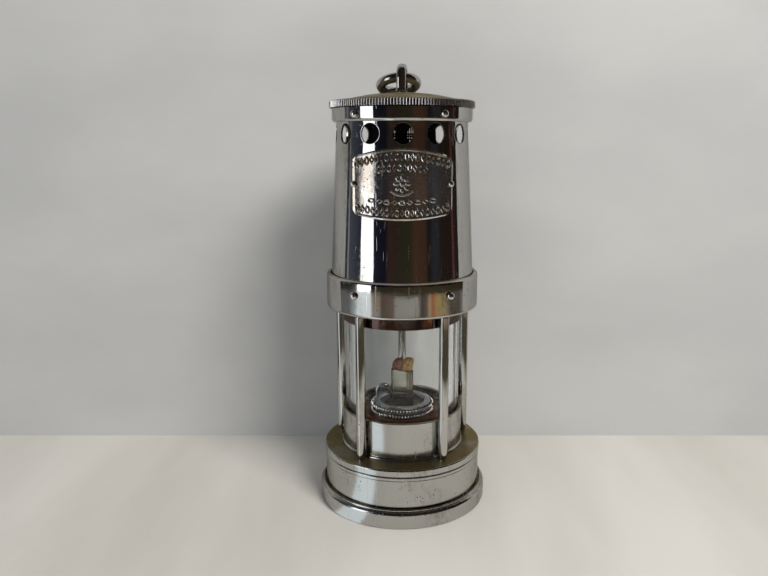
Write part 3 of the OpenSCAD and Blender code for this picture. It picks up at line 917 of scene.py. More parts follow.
@dataclass
class Burner:
    """The burner plate, its milled nut, the wick tube, the wick and the pricker."""

    disc_plug: float = 10.55
    disc_foot: float = 3.0
    dish: float = 9.0
    dish_depth: float = 0.5
    nut_in: float = 15.6
    nut_roof: float = 3.0
    nut_hole: float = 11.6
    beads: int = 64
    bead: float = 0.8
    tube_width: float = 12.8
    tube_thickness: float = 5.5
    tube_wall: float = 0.85
    braid_width: float = 10.2
    braid_thickness: float = 3.7
    lump: tuple[float, float] = (3.3, 2.3)
    lump_apart: float = 2.85
    turn: float = math.radians(-28)
    wire: float = 0.9
    crook: float = 3.2
    tip: float = 3.6
    knurls: int = 40

    def build(self) -> None:
        """Makes every piece of the burner."""
        self.plate()
        self.nut()
        self.tube()
        self.wick()
        self.pricker()
        self.knob()

    def oval(self, width: float, thickness: float, z: float) -> Mesh:
        """Starts a flat oval outline.

        Args:
            width: its longer size.
            thickness: its shorter size.
            z: its height.

        Returns:
            A mesh with one oval face.
        """
        bm = bmesh.new()
        bmesh.ops.create_circle(bm, cap_ends=True, segments=48, radius=thickness / 2)
        for vert in bm.verts:
            vert.co.x += math.copysign((width - thickness) / 2, vert.co.x) if abs(vert.co.x) > ROUND else 0
        bmesh.ops.translate(bm, vec=(0, 0, z), verts=bm.verts)
        return bm

    def plate(self) -> None:
        """Makes the round plate that carries the wick tube."""
        node = Extent.of("burner_plate")
        foot, dish = node.low.z + self.disc_foot, node.high.z - self.dish_depth
        section = [
            Corner(0, node.low.z), Corner(self.disc_plug, node.low.z, 0.2), Corner(self.disc_plug, foot),
            Corner(node.radius, foot, 0.2), Corner(node.radius, node.high.z, 0.3),
            Corner(self.dish + 0.4, node.high.z), Corner(self.dish, dish), Corner(0, dish),
        ]
        disc = finished(turned(section, 128, closed=False), "burner_disc")
        mount_piece(disc, Finish.SOOTED, "vessel", "burner_plate")

    def nut(self) -> None:
        """Makes the burner nut with two rows of beads round its edge."""
        node = Extent.of("burner_nut")
        z0, z1, r = node.low.z, node.high.z, node.radius
        rows = (z0 + 1.45, z1 - 1.9)
        neck, middle, shoulder = r - 1.7, node.middle.z, z1 - 0.7
        section = [
            Corner(self.nut_in, z0, 0.1), Corner(neck, z0, 0.3), Corner(neck, middle - 0.2),
            Corner(neck - 0.4, middle), Corner(neck, middle + 0.2), Corner(neck, shoulder, 0.3),
            Corner(neck - 1.2, z1, 0.4), Corner(self.nut_hole + 0.9, z1, 0.3),
            Corner(self.nut_hole, shoulder, 0.3), Corner(self.nut_hole, z0 + self.nut_roof, 0.2),
            Corner(self.nut_in, z0 + self.nut_roof),
        ]
        bead = bmesh.new()
        bmesh.ops.create_uvsphere(bead, u_segments=10, v_segments=8, radius=self.bead)
        bmesh.ops.scale(bead, vec=(0.66, 1.0, 1.25), verts=bead.verts)
        step = FULL_TURN / self.beads
        places = [about_axis((i + 0.5 * row) * step) @ Matrix.Translation((0, -(r - self.bead), rows[row]))
                  for row in range(2) for i in range(self.beads)]
        mount_piece(finished(turned(section, 128), "milled_nut"), Finish.NUT, "vessel", "burner_nut")
        beads = finished(repeated(bead, places), "nut_beads", even_normals=False)
        mount_piece(beads, Finish.PEENED, "vessel", "burner_nut")

    def tube(self) -> None:
        """Makes the flat wick tube with an eased mouth."""
        node = Extent.of("wick_tube")
        bm = self.oval(self.tube_width, self.tube_thickness, node.low.z)
        grow(bm, list(bm.faces), Vector((0, 0, node.high.z - node.low.z)))
        caps = [f for f in bm.faces if len(f.verts) > 4]
        bmesh.ops.delete(bm, geom=caps, context="FACES_ONLY")
        bmesh.ops.recalc_face_normals(bm, faces=bm.faces)
        bmesh.ops.solidify(bm, geom=list(bm.faces), thickness=self.tube_wall)
        rims = [e for e in bm.edges if all(abs(v.co.z - node.high.z) < ROUND for v in e.verts)
                and len(e.link_faces) == 2]
        soften(bm, rims, 0.15, 2)
        bmesh.ops.recalc_face_normals(bm, faces=bm.faces)
        bmesh.ops.rotate(bm, matrix=Matrix.Rotation(self.turn, 3, "Z"), verts=bm.verts)
        mount_piece(finished(bm, "flat_tube"), Finish.TARNISHED, "vessel", "wick_tube")

    def wick(self) -> None:
        """Makes the wick: a flat braid that swells into two burnt lumps."""
        node = Extent.of("wick")
        mouth = Extent.of("wick_tube").high.z
        lumps = []
        for side, top in ((-1, node.high.z - 0.5), (1, node.high.z + 0.4)):
            lump = bmesh.new()
            bmesh.ops.create_icosphere(lump, subdivisions=4, radius=1.0)
            half = (top - mouth + 2.2) / 2
            for vert in lump.verts:
                square = 1 / max(abs(vert.co.x), abs(vert.co.y), abs(vert.co.z)) ** 0.22
                vert.co = vert.co * square
            bmesh.ops.scale(lump, vec=(*self.lump, half), verts=lump.verts)
            bmesh.ops.translate(lump, vec=(side * self.lump_apart, 0, top - half), verts=lump.verts)
            for vert in lump.verts:
                rough = noise.noise(vert.co * 0.75) * 0.9 + noise.noise(vert.co * 2.4) * 0.3
                vert.co.z += rough + 0.14 * vert.co.x if vert.co.z > mouth else 0
                vert.co.x += 0.5 * rough + 0.12 * max(0.0, vert.co.z - mouth)
                if vert.co.z < mouth + 0.2:
                    vert.co.x *= 0.9
                    vert.co.y *= 0.86
            lumps.append(lump)
        stem = self.oval(self.braid_width, self.braid_thickness, node.low.z)
        grow(stem, list(stem.faces), Vector((0, 0, mouth - 0.5 - node.low.z)))
        bmesh.ops.recalc_face_normals(stem, faces=stem.faces)
        whole = merged([stem, *lumps])
        bmesh.ops.rotate(whole, matrix=Matrix.Rotation(self.turn, 3, "Z"), verts=whole.verts)
        mount_piece(finished(whole, "cotton_wick", even_normals=False), Finish.COTTON, "vessel", "wick")

    def pricker(self) -> None:
        """Makes the pricker's wire: a straight stem, a crook and a short tip."""
        node = Extent.of("pricker_wire")
        guide = Extent.of("pricker_tube").middle
        arch_z = node.high.z - self.wire - self.crook
        bm = bmesh.new()
        bmesh.ops.create_circle(bm, cap_ends=True, segments=16, radius=self.wire)
        bmesh.ops.translate(bm, vec=(0, 0, node.low.z), verts=bm.verts)
        bend = Vector((-self.crook, 0, arch_z))
        tip = arched(bm, arch_z - node.low.z, bend, Vector((0, -1, 0)), 20, self.tip)
        soften(bm, [e for f in tip for e in f.edges], 0.5, 3)
        bmesh.ops.recalc_face_normals(bm, faces=bm.faces)
        bmesh.ops.translate(bm, vec=(guide.x, guide.y, 0), verts=bm.verts)
        mount_piece(finished(bm, "trimming_wire"), Finish.DARK, "pricker", "pricker_wire")

    def knob(self) -> None:
        """Makes the pricker's knurled knob."""
        node = Extent.of("pricker_knob")
        bm = turned([Corner(0, node.low.z), Corner(node.radius - 0.4, node.low.z, 0.4),
                     Corner(node.radius - 0.4, node.high.z, 0.4), Corner(0, node.high.z)], 64, closed=False)
        rib = bmesh.new()
        bmesh.ops.create_cone(rib, cap_ends=True, segments=8, radius1=0.3, radius2=0.3,
                              depth=node.high.z - node.low.z - 1.2)
        places = [about_axis(i * FULL_TURN / self.knurls)
                  @ Matrix.Translation((0, -(node.radius - 0.35), node.middle.z)) for i in range(self.knurls)]
        whole = merged([bm, repeated(rib, places)])
        bmesh.ops.translate(whole, vec=(node.middle.x, node.middle.y, 0), verts=whole.verts)
        mount_piece(finished(whole, "pricker_button"), Finish.BRASS, "pricker", "pricker_knob")


@dataclass
class Cage:
    """The base ring, cup, glass, pillars and shoulder ring with its rivets."""

    ring_in: float = 28.06
    cup_wall: float = 1.7
    upstand: float = 30.4
    pillar: float = 2.5
    tenon: float = 1.85
    foot_taper: float = 3.0
    glass_wall: float = 5.0
    skirt: float = 37.25
    flange_in: float = 32.3
    flange: float = 4.0
    rivet: float = 2.0

    def build(self) -> None:
        """Makes every piece of the cage."""
        self.base_ring()
        self.cup()
        self.glass()
        self.pillars()
        self.shoulder()

    def base_ring(self) -> None:
        """Makes the base ring with the upstand that holds the glass's clamp."""
        node = Extent.of("cage_base_ring")
        top = Extent.of("glass_cup").low.z
        section = [
            Corner(self.ring_in, node.low.z, 0.2), Corner(node.radius, node.low.z, 0.35),
            Corner(node.radius, top, 0.8), Corner(self.upstand, top),
            Corner(self.upstand, node.high.z, 0.3), Corner(self.ring_in, node.high.z, 0.3),
        ]
        mount_piece(finished(turned(section, 256), "base_ring"), Finish.WORN, "cage", "cage_base_ring")

    def cup(self) -> None:
        """Makes the cup round the foot of the glass, with a bead at its foot and a rolled lip."""
        node = Extent.of("glass_cup")
        foot, z0, z1 = node.radius, node.low.z, node.high.z
        wall = foot - 0.7
        section = [
            Corner(wall - self.cup_wall, z0), Corner(foot, z0, 0.2), Corner(foot, z0 + 1.3, 0.45),
            Corner(wall, z0 + 1.9, 0.2), Corner(wall, z1, 0.4), Corner(wall - self.cup_wall, z1, 0.5),
        ]
        mount_piece(finished(turned(section, 256), "cup"), Finish.WORN, "cage", "glass_cup")

    def glass(self) -> None:
        """Makes the thick glass cylinder with ground, eased ends."""
        node = Extent.of("glass")
        section = hollow_ring(node.radius - self.glass_wall, node.radius, node.low.z, node.high.z, 0.7)
        mount_piece(finished(turned(section, 192), "lamp_glass"), Finish.GLASS, "cage", "glass")

    def pillars(self) -> None:
        """Makes the five pillars, each with a tapered, rounded foot."""
        for i in range(PILLARS):
            name = f"pillar_{i + 1}"
            node = Extent.of(name)
            foot = Extent.of("glass_cup").low.z
            top = Extent.of("mid_ring").low.z
            section = [
                Corner(0, node.low.z), Corner(self.tenon, node.low.z),
                Corner(self.tenon, foot), Corner(self.tenon - 0.1, foot + 0.15),
                Corner(self.pillar - 0.25, foot + self.foot_taper * 0.6),
                Corner(self.pillar, foot + self.foot_taper + 1), Corner(self.pillar, top - 0.6),
                Corner(self.pillar - 0.2, top - 0.05), Corner(self.tenon, top - 0.05),
                Corner(self.tenon, node.high.z), Corner(0, node.high.z),
            ]
            bm = turned(section, 40, closed=False)
            bmesh.ops.translate(bm, vec=(node.middle.x, node.middle.y, 0), verts=bm.verts)
            mount_piece(finished(bm, f"post_{i + 1}"), Finish.BRIGHT, "cage", name)

    def shoulder(self) -> None:
        """Makes the shoulder ring and the ball-headed rivets in it."""
        node = Extent.of("mid_ring")
        section = [
            Corner(self.flange_in, node.low.z, 0.2), Corner(node.radius, node.low.z, 1.7),
            Corner(node.radius, node.high.z, 1.5), Corner(self.skirt, node.high.z, 0.35),
            Corner(self.skirt, node.low.z + self.flange),
            Corner(self.flange_in, node.low.z + self.flange, 0.2),
        ]
        mount_piece(finished(turned(section, 256), "shoulder_ring"), Finish.BRIGHT, "cage", "mid_ring")
        angles = [PILLAR_PITCH * (i + 0.5) for i in range(PILLARS)]
        rivets = ball_rivets(angles, node.radius, Extent.of("mid_ring_rivets").middle.z, self.rivet)
        mount_piece(finished(rivets, "shoulder_rivets", False), Finish.PEENED, "cage", "mid_ring_rivets")


def ball_rivets(angles: list[float], seat: float, height: float, head: float) -> Mesh:
    """Makes ball-headed rivets round the lamp.

    Args:
        angles: their angles from the front, in radians.
        seat: the radius that the heads sit on.
        height: their height.
        head: the radius of a head.

    Returns:
        One mesh with every rivet.
    """
    sunk, shank_length = 0.12 * head, 2.1
    ball = bmesh.new()
    bmesh.ops.create_uvsphere(ball, u_segments=32, v_segments=20, radius=head)
    bmesh.ops.bisect_plane(ball, geom=[*ball.verts, *ball.edges, *ball.faces], dist=ROUND,
                           plane_co=(0, 0, -sunk), plane_no=(0, 0, 1), clear_inner=True)
    bmesh.ops.translate(ball, vec=(0, 0, sunk), verts=ball.verts)
    rim = [e for e in ball.edges if e.is_boundary]
    shank = bmesh.ops.extrude_edge_only(ball, edges=rim)["geom"]
    bmesh.ops.scale(ball, vec=(0.5, 0.5, 1.0), verts=only(shank, Vert))
    end = bmesh.ops.extrude_edge_only(ball, edges=only(shank, Edge))["geom"]
    bmesh.ops.translate(ball, vec=(0, 0, -shank_length), verts=only(end, Vert))
    bmesh.ops.holes_fill(ball, edges=[e for e in ball.edges if e.is_boundary])
    bmesh.ops.recalc_face_normals(ball, faces=ball.faces)
    return repeated(ball, [facing_out(a, seat, height) for a in angles])


@dataclass(frozen=True)
class Weave:
    """A gauze cap: its CAD node, its radii, and how many upright and level wires it has."""

    node: str
    foot: float
    top: float
    columns: int
    rows: int


WEAVES = (Weave("inner_gauze", 19.0, 15.0, 84, 62), Weave("outer_gauze", 21.5, 16.8, 96, 66))


@dataclass
class Bonnet:
    """The tapered bonnet with its vents, the badge, the collar, the rivets and the gauzes."""

    wall: float = 1.0
    foot: float = 37.0
    vents: int = 13
    vent: float = 4.9
    vent_height: float = 194.0
    vent_start: float = math.radians(0.8)
    sides: int = 12
    patch: float = 5.7
    rivet_start: float = math.radians(33.5)
    rivet: float = 2.0
    badge_turn: float = math.radians(40.5)
    seat_wall: float = 1.5
    seat_step: float = 28.0
    seat_hole: float = 20.0
    seat_shelf: float = 3.0
    gauze_wire: float = 0.5

    def __post_init__(self) -> None:
        """Reads the bonnet's place from the frame."""
        self.node = Extent.of("bonnet")
        self.ring_top = Extent.of("mid_ring").high.z
        self.collar = Extent.of("bonnet_collar")
        self.top = self.collar.radius - 2.15

    def build(self) -> None:
        """Makes every piece of the bonnet."""
        self.shell()
        self.collar_ring()
        self.seat()
        self.gauzes()
        Badge(self.radius_at).build(self.badge_turn)

    def radius_at(self, z: float) -> float:
        """The bonnet's outer radius at a height."""
        low, high = self.ring_top - 1, self.collar.low.z - 2.7
        if z <= low - 1:
            return self.node.radius
        share = min(1.0, max(0.0, (z - low) / (high - low)))
        return self.foot + (self.top - self.foot) * share

    def wrap(self, bm: Mesh) -> None:
        """Bends a flat sheet, with its angle along X in radians and its height in Z, round the lamp."""
        for vert in bm.verts:
            angle, out, z = vert.co
            vert.co = round_lamp(angle, self.radius_at(z) + out, z)

    def band(self, z0: float, z1: float, rows: int) -> Mesh:
        """Makes a flat, full-turn band of the sheet.

        Args:
            z0: its lowest height.
            z1: its highest height.
            rows: how many rows of faces it has.

        Returns:
            The band, laid flat.
        """
        bm = bmesh.new()
        bmesh.ops.create_grid(bm, x_segments=self.vents * self.sides, y_segments=rows, size=0.5)
        pitch = FULL_TURN / self.vents
        lay = Matrix.Translation((self.vent_start + FULL_TURN / 2 - pitch / 2, 0, (z0 + z1) / 2))
        lay = lay @ STAND @ Matrix.Diagonal((FULL_TURN, z1 - z0, 1, 1))
        bmesh.ops.transform(bm, matrix=lay, verts=bm.verts)
        return bm

    def vent_patches(self) -> Mesh:
        """Makes the row of square patches, each with a round vent through it, laid flat."""
        patch = bmesh.new()
        bmesh.ops.create_grid(patch, x_segments=self.sides, y_segments=self.sides, size=1.0)
        inside = [f for f in patch.faces if all(max(abs(v.co.x), abs(v.co.y)) < 2 for v in f.verts)]
        rim = [e for e in patch.edges if e.is_boundary]
        keep = {v for e in rim for v in e.verts}
        bmesh.ops.delete(patch, geom=inside, context="FACES_ONLY")
        bmesh.ops.delete(patch, geom=[e for e in patch.edges if e not in rim], context="EDGES_FACES")
        bmesh.ops.delete(patch, geom=[v for v in patch.verts if v not in keep], context="VERTS")
        half_width = math.pi / self.vents
        radius = self.radius_at(self.vent_height)
        for blend in (0.35, 0.75, 0.93, 1.0):
            new = bmesh.ops.extrude_edge_only(patch, edges=rim)["geom"]
            rim = only(new, Edge)
            for vert in only(new, Vert):
                square = keep_square(vert.co)
                flat = Vector((square.x * half_width * radius, square.y * self.patch))
                place = flat.lerp(flat.normalized() * self.vent, blend)
                vert.co = (place.x / (half_width * radius), place.y / self.patch, blend)
        lay = Matrix.Translation((0, 0, self.vent_height)) @ STAND
        lay = lay @ Matrix.Diagonal((half_width, self.patch, 0, 1))
        bmesh.ops.transform(patch, matrix=lay, verts=patch.verts)
        step = FULL_TURN / self.vents
        places = [Matrix.Translation((self.vent_start + i * step, 0, 0)) for i in range(self.vents)]
        return repeated(patch, places)

    def shell(self) -> None:
        """Makes the bonnet's sheet with its vents, and gives it its thickness."""
        low, high = self.vent_height - self.patch, self.vent_height + self.patch
        skirt = self.ring_top - 2
        bm = merged([
            self.band(self.node.low.z, skirt, 2), self.band(skirt, skirt + 1, 2),
            self.band(skirt + 1, low, 10), self.vent_patches(), self.band(high, self.node.high.z, 2),
        ])
        self.wrap(bm)
        bmesh.ops.remove_doubles(bm, verts=bm.verts, dist=0.01)
        bmesh.ops.recalc_face_normals(bm, faces=bm.faces)
        shell = finished(bm, "bonnet_shell", even_normals=False)
        thick = shell.modifiers.new("wall", "SOLIDIFY")
        thick.thickness = self.wall * MM
        thick.offset = -1.0
        thick.use_quality_normals = True
        thick.material_offset = 1
        eased = shell.modifiers.new("eased", "BEVEL")
        eased.width = 0.16 * MM
        eased.segments = 2
        eased.limit_method = "ANGLE"
        eased.angle_limit = math.radians(50)
        shell.modifiers.new("even_normals", "WEIGHTED_NORMAL").weight = 60
        mount_piece(shell, Finish.BRIGHT, "cage", "bonnet")
        shell.data.materials.append(made(Finish.SOOTED))

    def collar_ring(self) -> None:
        """Makes the collar and the ball-headed rivets in it."""
        r, z0, z1 = self.collar.radius, self.collar.low.z, self.collar.high.z
        section = [
            Corner(self.top + 0.1, z0, 0.1), Corner(r - 1.0, z0, 0.25), Corner(r, z0 + 1.1, 0.35),
            Corner(r, z1, 0.15), Corner(self.top + 0.1, z1),
        ]
        mount_piece(finished(turned(section, 256), "collar"), Finish.BRIGHT, "cage", "bonnet_collar")
        angles = [self.rivet_start + PILLAR_PITCH * i for i in range(PILLARS)]
        rivets = ball_rivets(angles, r, Extent.of("collar_rivets").middle.z, self.rivet)
        mount_piece(finished(rivets, "collar_studs", False), Finish.PEENED, "cage", "collar_rivets")

    def seat(self) -> None:
        """Makes the gauze seat, whose polished skirt shows over the glass."""
        node = Extent.of("gauze_seat")
        skirt, shelf = Extent.of("glass").radius + 1.6, Extent.of("mid_ring").low.z
        inside, below, under = skirt - self.seat_wall, node.high.z - self.seat_wall, shelf - self.seat_shelf
        section = [
            Corner(inside, node.low.z, 0.15), Corner(skirt, node.low.z, 0.35), Corner(skirt, below),
            Corner(node.radius, below, 0.1), Corner(node.radius, node.high.z, 0.1),
            Corner(self.seat_step, node.high.z, 0.1), Corner(self.seat_step, shelf),
            Corner(self.seat_hole, shelf, 0.1), Corner(self.seat_hole, under, 0.2), Corner(inside, under),
        ]
        mount_piece(finished(turned(section, 192), "gauze_carrier"), Finish.SKIRT, "cage", "gauze_seat")

    def gauzes(self) -> None:
        """Makes the two gauzes as lattices of wire."""
        for weave in WEAVES:
            self.gauze(weave)

    def gauze(self, weave: Weave) -> None:
        """Makes one gauze cap, open at the middle of its end.

        Args:
            weave: the cap's sizes.
        """
        node = Extent.of(weave.node)
        hem, half_wire, rings = 1.0, self.gauze_wire / 2, 12
        step = (node.high.z - node.low.z - hem) / weave.rows
        taper = (weave.top - weave.foot) / weave.rows
        wall = [Corner(weave.foot + taper * i - half_wire, node.low.z + hem + i * step)
                for i in range(weave.rows + 1)]
        end = [Corner(weave.top * (1 - i / rings) - half_wire, node.high.z - 0.1)
               for i in range(1, rings - 1)]
        bm = turned(wall + end, weave.columns, closed=False)
        mesh = finished(bm, weave.node + "_wire", even_normals=False)
        wire = mesh.modifiers.new("wire", "WIREFRAME")
        wire.thickness = self.gauze_wire * MM
        wire.use_even_offset = False
        wire.use_boundary = True
        mount_piece(mesh, Finish.GAUZE, "cage", weave.node)


def keep_square(place: Vector) -> Vector:
    """The point on the unit square's rim in the direction of a point."""
    reach = max(abs(place.x), abs(place.y))
    return Vector((place.x / reach, place.y / reach))


@dataclass(frozen=True)
class Row:
    """A row of the badge's relief.

    It has the distance from the edge that it follows, the share of the width that it covers, the number
    of shapes, half their height, and whether it follows the top edge.
    """

    offset: float
    reach: float
    count: int
    size: float
    from_top: bool


BADGE_ROWS = (
    Row(3.9, 0.89, 19, 2.15, True), Row(9.0, 0.45, 10, 1.9, True),
    Row(3.7, 0.88, 19, 2.0, False), Row(8.4, 0.60, 9, 1.2, False),
)


@dataclass
class Badge:
    """The stamped badge: a bent plate with a raised rim, rows of loops and lozenges, and a rosette."""

    radius_at: Callable[[float], float]
    half_width: float = 24.3
    rise: float = 4.5
    drop: float = 2.5
    thickness: float = 0.85
    rim: float = 1.1
    corner: float = 3.6
    field_depth: float = 0.32
    stand_off: float = 0.06
    petals: int = 8

    def __post_init__(self) -> None:
        """Works out how far the sunken field stands out of the wall."""
        self.field = self.thickness - self.field_depth

    def build(self, pin_turn: float) -> None:
        """Makes the plate, its relief and its two rivets.

        Args:
            pin_turn: the rivets' angle from the front, in radians.
        """
        node = Extent.of("badge")
        plate = merged([self.plate(node), self.relief(node)])
        self.bend(plate)
        mount_piece(finished(plate, "badge_plate"), Finish.STAMPED, "cage", "badge")
        pins = Extent.of("badge_rivets")
        seat = self.radius_at(pins.middle.z) + self.thickness + CLEARANCE
        rivets = ball_rivets([-pin_turn, pin_turn], seat, pins.middle.z, 1.6)
        mount_piece(finished(rivets, "badge_studs", False), Finish.PEENED, "cage", "badge_rivets")

    def edge_heights(self, x: float, node: Extent) -> tuple[float, float]:
        """The badge's lowest and highest point at a distance from its middle."""
        share = (x / self.half_width) ** 2
        return node.low.z + self.drop * share, node.high.z - self.rise * share

    def plate(self, node: Extent) -> Mesh:
        """Makes the plate, laid flat, with its rim raised.

        Args:
            node: the CAD badge's box.

        Returns:
            The plate, with X across, Y out of the wall and Z up.
        """
        bm = bmesh.new()
        bmesh.ops.create_grid(bm, x_segments=72, y_segments=44, size=1.0)
        corner = self.corner
        for vert in bm.verts:
            x, y = vert.co.x, vert.co.y
            low, high = self.edge_heights(x * self.half_width, node)
            pull = corner * max(0.0, abs(x) - 1 + corner / self.half_width) * self.half_width / corner
            inset = corner - math.sqrt(max(0.0, corner ** 2 - pull ** 2))
            low, high = low + inset, high - inset
            vert.co = (x * self.half_width, 0.0, low + (high - low) * (y + 1) / 2)
        bmesh.ops.recalc_face_normals(bm, faces=bm.faces)
        if sum(f.normal.y for f in bm.faces) < 0:
            bmesh.ops.reverse_faces(bm, faces=bm.faces)
        for vert in bm.verts:
            vert.co.y = self.height_at(vert.co, node)
        base = bmesh.ops.extrude_edge_only(bm, edges=[e for e in bm.edges if e.is_boundary])["geom"]
        for vert in only(base, Vert):
            vert.co.y = self.stand_off
        bmesh.ops.holes_fill(bm, edges=[e for e in bm.edges if e.is_boundary])
        bmesh.ops.recalc_face_normals(bm, faces=bm.faces)
        return bm

    def height_at(self, place: Vector, node: Extent) -> float:
        """How far the plate's face stands out at a place: the rim is raised, and the field lies lower."""
        low, high = self.edge_heights(place.x, node)
        margin = min(self.half_width - abs(place.x), high - place.z, place.z - low)
        share = min(1.0, max(0.0, (margin - self.rim * 0.55) / (self.rim * 0.5)))
        field = self.thickness - self.field_depth * (3 * share ** 2 - 2 * share ** 3)
        return field * min(1.0, 0.55 + 0.9 * max(0.0, margin))

    def relief(self, node: Extent) -> Mesh:
        """Makes the raised rows of loops and lozenges and the rosette of the badge.

        Args:
            node: the CAD badge's box.

        Returns:
            The relief, laid flat.
        """
        return merged([*(self.shapes(node, row) for row in BADGE_ROWS), self.rosette(node.middle.z + 0.3)])

    def loop(self, sides: int) -> Mesh:
        """Makes an upright wire loop of unit size, laid flat.

        Args:
            sides: how many sides it has: four give a lozenge.

        Returns:
            The loop.
        """
        bm = bmesh.new()
        bmesh.ops.create_circle(bm, segments=8, radius=0.36)
        bmesh.ops.translate(bm, vec=(0.74, 0, 0), verts=bm.verts)
        bmesh.ops.spin(bm, geom=[*bm.verts, *bm.edges], cent=(0, 0, 0), axis=(0, 1, 0), angle=FULL_TURN,
                       steps=sides, use_merge=True)
        bmesh.ops.recalc_face_normals(bm, faces=bm.faces)
        return bm

    def shapes(self, node: Extent, row: Row) -> Mesh:
        """Makes one row of loops and lozenges that follows the badge's edge.

        Args:
            node: the CAD badge's box.
            row: the row's place and size.

        Returns:
            The row, laid flat.
        """
        loop, lozenge = 12, 4
        kinds: dict[int, list[Matrix]] = {loop: [], lozenge: []}
        half = self.half_width * row.reach / (row.count - 1)
        size = Matrix.Diagonal((half * 0.94, 2.1, row.size, 1))
        for i in range(row.count):
            x = self.half_width * row.reach * (2 * i / (row.count - 1) - 1)
            low, high = self.edge_heights(x, node)
            z = high - row.offset if row.from_top else low + row.offset
            kinds[lozenge if i % 2 else loop].append(Matrix.Translation((x, self.field, z)) @ size)
        return merged([repeated(self.loop(sides), places) for sides, places in kinds.items()])

    def rosette(self, z: float) -> Mesh:
        """Makes a plain rosette: a ring of petals round a boss, over a bowed bar.

        Args:
            z: the height of its middle.

        Returns:
            The rosette, laid flat.
        """
        petal = bmesh.new()
        bmesh.ops.create_uvsphere(petal, u_segments=12, v_segments=8, radius=1.0)
        middle = Matrix.Translation((0, self.field, z))
        shape = Matrix.Translation((0, 0, 2.9)) @ Matrix.Diagonal((0.95, 0.55, 1.5, 1))
        places = [middle @ Matrix.Rotation(i * FULL_TURN / self.petals, 4, "Y") @ shape
                  for i in range(self.petals)]
        places.append(middle @ Matrix.Diagonal((1.4, 0.75, 1.4, 1)))
        knot = Matrix.Diagonal((0.75, 0.5, 0.6, 1))
        places += [Matrix.Translation((i, self.field, z - 5.4 + 0.07 * i * i)) @ knot for i in range(-5, 6)]
        return repeated(petal, places)

    def bend(self, bm: Mesh) -> None:
        """Bends the flat badge round the bonnet, so that its front view stays as laid out."""
        for vert in bm.verts:
            x, out, z = vert.co
            seat = self.radius_at(z)
            angle = math.asin(max(-0.99, min(0.99, x / (seat + self.thickness))))
            vert.co = round_lamp(angle, seat + max(out, self.stand_off), z)


